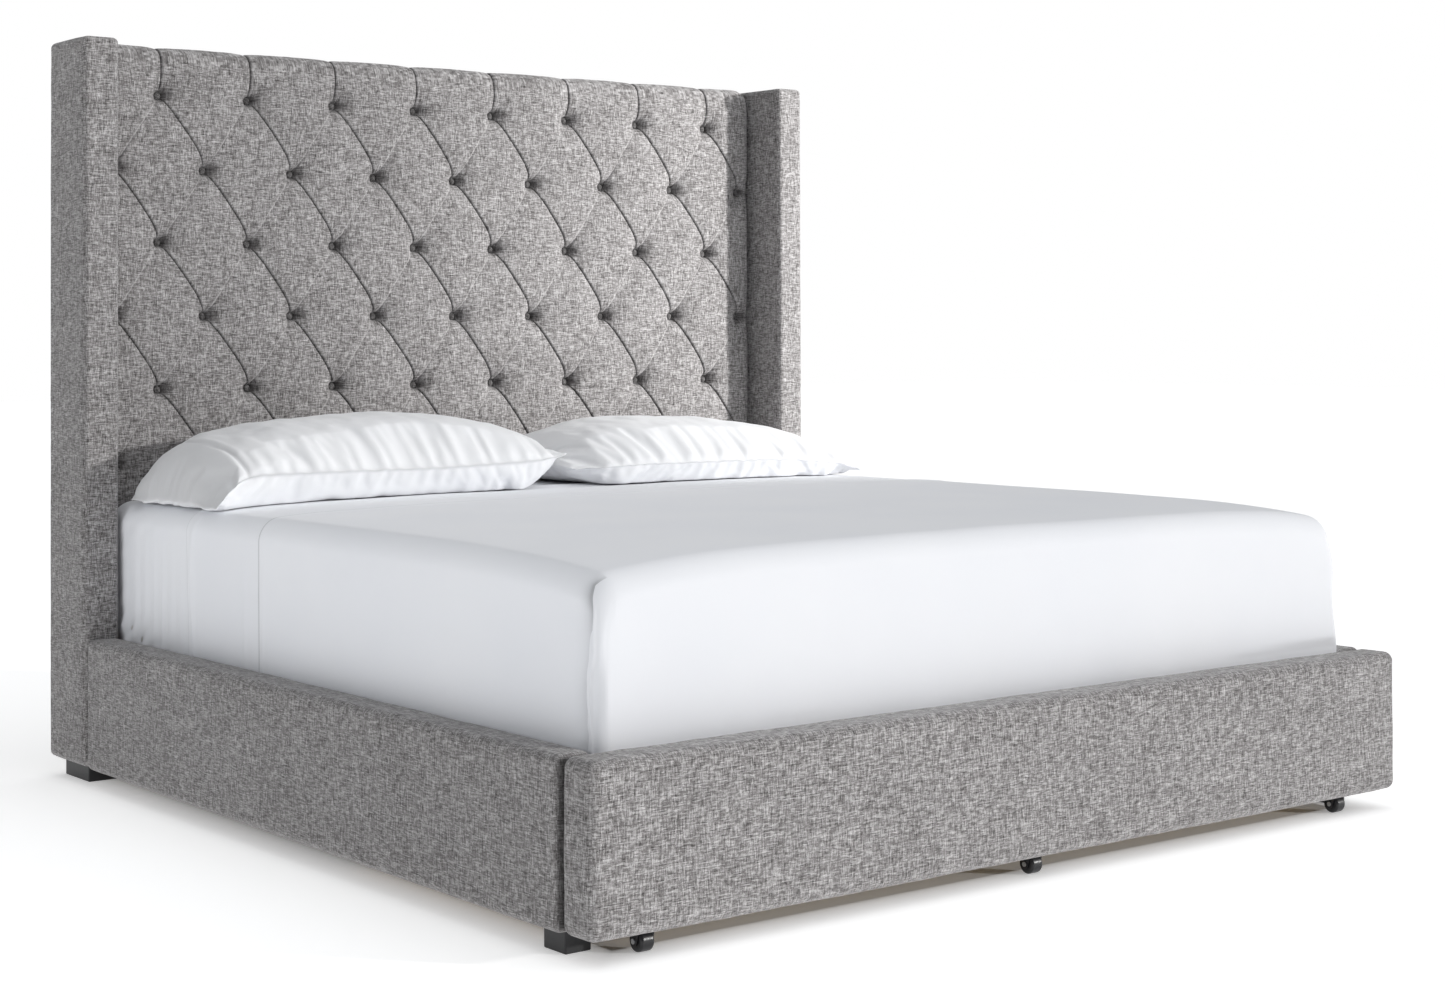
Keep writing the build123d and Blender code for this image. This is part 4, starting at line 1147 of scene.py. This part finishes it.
def pillow_mesh(name, spec):
    """A filled king pillow in its case. u runs from its left to its right end, v from its front seam to its back."""
    nu, nv = 120, 72
    uu = np.sign(np.linspace(-1, 1, nu + 1)) * np.abs(np.linspace(-1, 1, nu + 1)) ** 0.92
    vv = np.sign(np.linspace(-1, 1, nv + 1)) * np.abs(np.linspace(-1, 1, nv + 1)) ** 0.85
    U, V = np.meshgrid(uu, vv, indexing="ij")
    u, v = U.ravel(), V.ravel()
    xc, yf, yb = spec["x"], curve(u, spec["front"]), curve(u, spec["back"])
    x = (xc[0] + xc[1]) / 2 + (xc[1] - xc[0]) / 2 * (u - 0.030 * u * np.abs(u) ** 4 * (1 - v * v) * 1.0)
    y = (yf + yb) / 2 + (yb - yf) / 2 * v
    floor_z = bed_top(x, y) + 0.0015
    rim = curve(u, spec["rim"]) * (1 - 0.25 * (v > 0) * v)      # seam height above the bed
    crest = curve(u, spec["crest"])
    # cross section: seam in front, crest past the middle, down again behind
    vs = np.clip(v / 0.972, -1, 1)
    pv = np.clip(1 - np.abs((vs - 0.12 * (1 - vs * vs))) ** 2.5, 0, 1) ** 0.58
    us = np.clip(u / 0.985, -1, 1)
    fill_u = np.where(us < 0, np.clip(1 - np.abs(us) ** spec["ends"][0], 0, 1), np.clip(1 - np.abs(us) ** spec["ends"][1], 0, 1)) ** 0.55
    top = floor_z + rim + np.maximum(crest - rim, 0.004) * pv * np.clip(fill_u, 0, 1) + 0.006 * np.clip(1 - np.abs(v) ** 6, 0, 1)
    sag = np.clip(1 - np.abs(v) ** 2.2, 0, 1) ** 0.55 * np.clip(1 - np.abs(u) ** 6, 0, 1)
    bot = floor_z + rim * (1 - sag)
    # puckers that run out from the seams
    def pucker(t, row, amount, reach, freq):
        return amount * np.sin(t * freq + 3.0 * noise_line(t * freq * 0.11, row)) * (0.35 + 0.65 * np.abs(noise_line(t * 9, row + 3))) * np.exp(-reach)
    skew = x + 0.10 * noise_line(x * 5, spec["row"] + 7) * (1 + v)
    pf = pucker(skew, spec["row"], 0.0058, np.abs(1 + v) / 0.15, 150.0) + pucker(skew, spec["row"] + 5, 0.0040, np.abs(1 + v) / 0.30, 71.0)
    pb = pucker(skew, spec["row"] + 1, 0.0045, np.abs(1 - v) / 0.18, 125.0)
    pe = pucker(y, spec["row"] + 2, 0.0045, (1 - np.abs(u)) / 0.07, 120.0)
    P0 = np.stack([x, y, top], 1)
    soft = 0.0050 * fbm(P0 * np.array([1.0, 1.0, 0.6]), 7.0, 3, spec["row"]) + 0.0022 * fbm(P0 * np.array([2.6, 1.0, 1.0]), 11.0, 2, spec["row"] + 9)
    inner = np.clip((1 - np.abs(v)) / 0.05, 0, 1) * np.clip((1 - np.abs(u)) / 0.03, 0, 1)
    top = top + (pf + pb + pe * 0.8 + soft) * inner
    bot = np.maximum(bot - (pf * 0.9) * inner * np.exp(-np.abs(1 + v) / 0.3), floor_z)
    # the open end of the case: a sewn hem line, and the cloth beyond it lies flatter
    if spec.get("hem") is not None:
        uh = spec["hem"] + 0.012 * v
        top = top - 0.0055 * np.exp(-((u - uh) / 0.0085) ** 2) * inner
        top = top + 0.0022 * np.exp(-((u - uh - 0.026) / 0.012) ** 2) * inner
    n = (nv + 1)
    idx = np.arange((nu + 1) * n).reshape(nu + 1, n)
    verts = [tuple(a) for a in np.stack([x, y, top], 1)]
    bottom = idx.copy()
    for i in range(1, nu):
        for j in range(1, nv):
            bottom[i, j] = len(verts)
            k = idx[i, j]
            verts.append((x[k], y[k], min(bot[k], top[k] - 0.003)))
    faces = []
    for i in range(nu):
        for j in range(nv):
            faces.append((idx[i, j], idx[i + 1, j], idx[i + 1, j + 1], idx[i, j + 1]))
            faces.append((bottom[i, j + 1], bottom[i + 1, j + 1], bottom[i + 1, j], bottom[i, j]))
    verts = np.array(verts, float)
    under = bottom[1:nu, 1:nv].ravel()
    flat = idx[1:nu, 1:nv].ravel()
    s = np.clip((1 + v[flat]) / 0.26, 0, 1)
    th = s * math.pi / 2
    tips = spec["tips"]
    ends = np.clip((1 - np.abs(u[flat])) / np.where(u[flat] < 0, tips[0], tips[1]), 0, 1) ** 0.7
    roll = rim[flat] * (1 - np.sin(th) ** 1.15)
    back = np.clip((v[flat] - 0.70) / 0.30, 0, 1)
    z = floor_z[flat] + roll + rim[flat] * back ** 2.0
    z = z + pf[flat] * 0.8 * np.sin(np.pi * s) * ends
    bulge = 0.0135 * np.sin(2 * th) * ends * np.clip(rim[flat] / 0.05, 0, 1)
    lifted = np.where(u[flat] < 0, spec["lifted"][0], spec["lifted"][1])
    tip_z = lifted * (floor_z[flat] + rim[flat]) + (1 - lifted) * np.minimum(bot[flat], top[flat] - 0.003)
    z = ends * z + (1 - ends) * tip_z
    verts[under, 1] = y[flat] - bulge + (0.030 - 0.27 * 0.26) * (1 - np.cos(th)) * np.where(s < 1, 1, 1) * ends * (s < 1) + 0
    tail = np.clip((v[flat] + 0.74) / 0.20, 0, 1)
    verts[under, 1] = np.where(s < 1, verts[under, 1], y[flat] + (0.030 - 0.27 * 0.26) * (1 - tail) * ends)
    verts[under, 2] = np.clip(z, floor_z[flat], np.maximum(top[flat] - 0.004, floor_z[flat]))
    ob = make_mesh(name, verts, faces, [(a[0], a[1]) for a in verts], mat=COTTON_P)
    # painted shade along the front seam and the hem line
    painted_shade = np.zeros(len(verts))
    seam = idx[2:nu - 1, 0]
    painted_shade[seam] = 0.42
    painted_shade[idx[:, 1]] = 0.05
    if spec.get("hem") is not None:
        painted_shade[idx.ravel()] = np.maximum(painted_shade[idx.ravel()], 0.30 * np.exp(-((u - spec["hem"] - 0.012 * v) / 0.006) ** 2))
    add_painted_shade(ob, painted_shade)
    return ob


def inflate(ob, frames=14, pressure=3.0, cap=0.012):
    """Lets the case settle as cloth under inner pressure, its seam held, then keeps the result."""
    me = ob.data
    start = np.empty(len(me.vertices) * 3, np.float32)
    me.vertices.foreach_get("co", start)
    start = start.reshape(-1, 3).astype(float)
    rim_ids = np.nonzero(ob_rim(me))[0]
    vg = ob.vertex_groups.new(name="seam")
    vg.add([int(i) for i in rim_ids], 1.0, "REPLACE")
    cl = ob.modifiers.new("cloth", "CLOTH")
    st = cl.settings
    st.quality = 5
    st.mass = 0.25
    st.tension_stiffness = st.compression_stiffness = 12
    st.shear_stiffness = 6
    st.bending_stiffness = 0.35
    st.air_damping = 2.0
    st.use_pressure = True
    st.uniform_pressure_force = pressure
    st.vertex_group_mass = "seam"
    st.pin_stiffness = 1.0
    st.shrink_min = -0.035
    st.effector_weights.gravity = 0.0
    cl.collision_settings.use_collision = False
    cl.point_cache.frame_start, cl.point_cache.frame_end = 1, frames
    for fr in range(1, frames + 1):
        scene.frame_set(fr)
    dg = bpy.context.evaluated_depsgraph_get()
    ev = ob.evaluated_get(dg).data
    out = np.empty(len(ev.vertices) * 3, np.float32)
    ev.vertices.foreach_get("co", out)
    out = out.reshape(-1, 3).astype(float)
    ob.modifiers.clear()
    scene.frame_set(1)
    if len(out) == len(start) and np.all(np.isfinite(out)):
        mv = out - start
        ln = np.linalg.norm(mv, axis=1)
        mv *= (np.minimum(ln, cap) / np.maximum(ln, 1e-9))[:, None]
        out = start + mv
        out[:, 2] = np.maximum(out[:, 2], bed_top(out[:, 0], out[:, 1]) + 0.0008)
        out[:, 1] = np.minimum(out[:, 1], 1.010)
        me.vertices.foreach_set("co", out.astype(np.float32).ravel())
        me.update()
    return ob


def ob_rim(me):
    """True for the points on the seam between the top and bottom cloth."""
    n = len(me.vertices)
    up, down = np.zeros(n, bool), np.zeros(n, bool)
    for i, p in enumerate(me.polygons):
        (up if i % 2 == 0 else down)[list(p.vertices)] = True
    return up & down


PILLOWS = {
    "left": {"x": (-0.956, -0.016), "row": 3.0, "tips": (0.08, 0.30), "lifted": (0.0, 1.0), "ends": (11.0, 3.4), "hem": -0.79,
             "front": [(-1, 0.432), (-0.93, 0.448), (-0.80, 0.462), (-0.4, 0.452), (0.4, 0.452), (0.85, 0.462), (1, 0.490)],
             "back": [(-1, 0.872), (-0.85, 0.935), (-0.5, 0.980), (0.5, 0.990), (0.9, 0.985), (1, 0.960)],
             "rim": [(-1, 0.006), (-0.93, 0.040), (-0.82, 0.070), (-0.6, 0.066), (0.2, 0.060), (0.75, 0.066), (1, 0.078)],
             "crest": [(-1, 0.078), (-0.9, 0.104), (-0.75, 0.126), (-0.5, 0.146), (0.0, 0.160), (0.5, 0.162), (0.8, 0.150), (1, 0.112)]},
    "right": {"x": (0.006, 0.918), "row": 13.0, "tips": (0.30, 0.30), "lifted": (1.0, 1.0), "ends": (3.4, 3.2), "hem": None,
              "front": [(-1, 0.500), (-0.8, 0.468), (-0.4, 0.458), (0.4, 0.455), (0.85, 0.465), (1, 0.495)],
              "back": [(-1, 0.955), (-0.8, 0.980), (-0.4, 0.988), (0.5, 0.985), (0.9, 0.965), (1, 0.930)],
              "rim": [(-1, 0.040), (-0.6, 0.048), (0.4, 0.046), (0.8, 0.034), (1, 0.014)],
              "crest": [(-1, 0.070), (-0.8, 0.120), (-0.4, 0.134), (0.1, 0.130), (0.6, 0.112), (0.9, 0.080), (1, 0.036)]},
}
for side in ("left", "right"):
    pw = pillow_mesh(f"pillow_filled_{side}", PILLOWS[side])
    inflate(pw)
    sub = pw.modifiers.new("smooth", "SUBSURF")
    sub.levels = sub.render_levels = 1
    apply_modifiers(pw)
    place(pw, ROOT, [f"pillow_{side}"])


# ------------------------------------------------------- floor, light, camera
def flat_material(name, colour, rough, glow):
    m, nt, bsdf = new_material(name)
    g = Nodes(nt)
    pos = g.add("ShaderNodeTexCoord").outputs["Object"]
    n = g.noise(g.scale(pos, (2, 2, 2)), 1.0, 2.0)
    g.set(bsdf, "Base Color", g.mix(n, (*[c * 0.985 for c in colour], 1), (*colour, 1)))
    bsdf.inputs["Roughness"].default_value = rough
    bsdf.inputs["Specular IOR Level"].default_value = 0.1
    bsdf.inputs["Emission Color"].default_value = (1, 1, 1, 1)
    if glow:
        # painted shade under the bed: the floor's glow is dimmed beneath it and full strength clear of it
        sep = g.add("ShaderNodeSeparateXYZ", Vector=pos)
        ax = g.math("SUBTRACT", g.math("ABSOLUTE", sep.outputs["X"]), 0.94)
        ay = g.math("SUBTRACT", g.math("ABSOLUTE", sep.outputs["Y"]), 1.02)
        clear = g.math("MULTIPLY", g.math("MAXIMUM", ax, ay), 7.0)
        clear = g.math("MINIMUM", g.math("MAXIMUM", clear, 0.0), 1.0)
        g.set(bsdf, "Emission Strength", g.math("MULTIPLY", g.math("POWER", clear, 0.35), glow))
    return m


floor = make_mesh("studio_floor", [(-30, -30, 0), (30, -30, 0), (30, 30, 0), (-30, 30, 0)], [(0, 1, 2, 3)],
                  mat=flat_material("studio_floor", (0.93, 0.93, 0.93), 0.9, 0.52))
floor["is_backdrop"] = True

world = bpy.data.worlds.new("studio")
scene.world = world
world.use_nodes = True
nt = world.node_tree
nt.nodes.clear()
g = Nodes(nt)
out = nt.nodes.new("ShaderNodeOutputWorld")
lit = nt.nodes.new("ShaderNodeBackground")
seen = nt.nodes.new("ShaderNodeBackground")
seen.inputs["Color"].default_value = (1, 1, 1, 1)
seen.inputs["Strength"].default_value = 1.0
path = nt.nodes.new("ShaderNodeLightPath")
geo = nt.nodes.new("ShaderNodeTexCoord")
sep = nt.nodes.new("ShaderNodeSeparateXYZ")
nt.links.new(geo.outputs["Generated"], sep.inputs[0])
# an overhead scrim: brightest straight up, fading to the horizon
scrim = nt.nodes.new("ShaderNodeVectorMath")
scrim.operation = "DOT_PRODUCT"
nt.links.new(geo.outputs["Generated"], scrim.inputs[0])
scrim.inputs[1].default_value = Vector((0.16, -0.14, 1.0)).normalized()
high = g.math("MAXIMUM", scrim.outputs["Value"], 0.0)
amb = g.math("ADD", g.math("MULTIPLY", g.math("POWER", high, 3.0), 1.34), 0.025)
nt.links.new(amb, lit.inputs["Strength"])
lit.inputs["Color"].default_value = (0.97, 0.985, 1.0, 1)
mixw = nt.nodes.new("ShaderNodeMixShader")
nt.links.new(path.outputs["Is Camera Ray"], mixw.inputs[0])
nt.links.new(lit.outputs[0], mixw.inputs[1])
nt.links.new(seen.outputs[0], mixw.inputs[2])
nt.links.new(mixw.outputs[0], out.inputs[0])

az, el = math.radians(40), math.radians(12.5)
to_light = Vector((math.sin(az) * math.cos(el), -math.cos(az) * math.cos(el), math.sin(el)))
key = bpy.data.lights.new("key_sun", "SUN")
key.energy = 1.45
key.angle = math.radians(2.2)
key.color = (1.0, 0.99, 0.975)
key_ob = bpy.data.objects.new("key_sun", key)
scene.collection.objects.link(key_ob)
key_ob.rotation_euler = to_light.to_track_quat("Z", "Y").to_euler()

# a focused head from the same side, on the right half of the headboard
head = bpy.data.lights.new("key_head", "SPOT")
head.energy = 1600
head.spot_size = math.radians(23)
head.spot_blend = 1.0
head.shadow_soft_size = 0.10
head.color = (1.0, 0.99, 0.975)
head_ob = bpy.data.objects.new("key_head", head)
scene.collection.objects.link(head_ob)
aim = Vector((1.15, 1.0, 1.25))
head_ob.location = aim + to_light * 6.0
head_ob.rotation_euler = to_light.to_track_quat("Z", "Y").to_euler()

def fill_light(name, at, towards, size, energy, pieces):
    """A soft card that lights only the named pieces."""
    data = bpy.data.lights.new(name, "AREA")
    data.shape = "RECTANGLE"
    data.size, data.size_y = size
    data.energy = energy
    data.color = (0.96, 0.98, 1.0)
    ob = bpy.data.objects.new(name, data)
    scene.collection.objects.link(ob)
    ob.location = at
    ob.rotation_euler = (Vector(at) - Vector(towards)).to_track_quat("Z", "Y").to_euler()
    only = bpy.data.collections.new(name + "_receives")
    for piece in pieces:
        only.objects.link(piece)
    ob.light_linking.receiver_collection = only
    return ob


bedding = [bpy.data.objects[n] for n in ("fitted_sheet_cotton", "turned_down_sheet_cotton", "coverlet_cotton")]
cases = [bpy.data.objects[n] for n in ("pillow_filled_left", "pillow_filled_right")]
fill_light("side_card", (-4.2, -0.4, 1.25), (-0.9, -0.1, 0.45), (2.6, 1.0), 27, bedding)
fill_light("pillow_card", (0.5, -3.6, 0.92), (0.2, 0.5, 0.74), (2.6, 0.5), 33, cases)

cam = bpy.data.cameras.new("camera")
cam.sensor_width = 36
cam.sensor_fit = "HORIZONTAL"
cam.lens = 59.88
cam.shift_x, cam.shift_y = -0.0316, -0.1401
cam.clip_start, cam.clip_end = 0.05, 100
cam_ob = bpy.data.objects.new("camera", cam)
scene.collection.objects.link(cam_ob)
scene.camera = cam_ob
yaw, pitch, roll = math.radians(38.54), math.radians(0.76), math.radians(-0.19)
fwd = Vector((math.sin(yaw) * math.cos(pitch), math.cos(yaw) * math.cos(pitch), math.sin(pitch)))
right = Vector((math.cos(yaw), -math.sin(yaw), 0))
up = right.cross(fwd)
right2 = right * math.cos(roll) + up * math.sin(roll)
up2 = right2.cross(fwd)
rot = Matrix((right2, up2, -fwd)).transposed()
cam_ob.matrix_world = Matrix.Translation((-3.2301, -4.3160, 1.0315)) @ rot.to_4x4()

scene.view_settings.view_transform = "Standard"
scene.view_settings.look = "None"
scene.view_settings.exposure = 0.0

lo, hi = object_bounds()
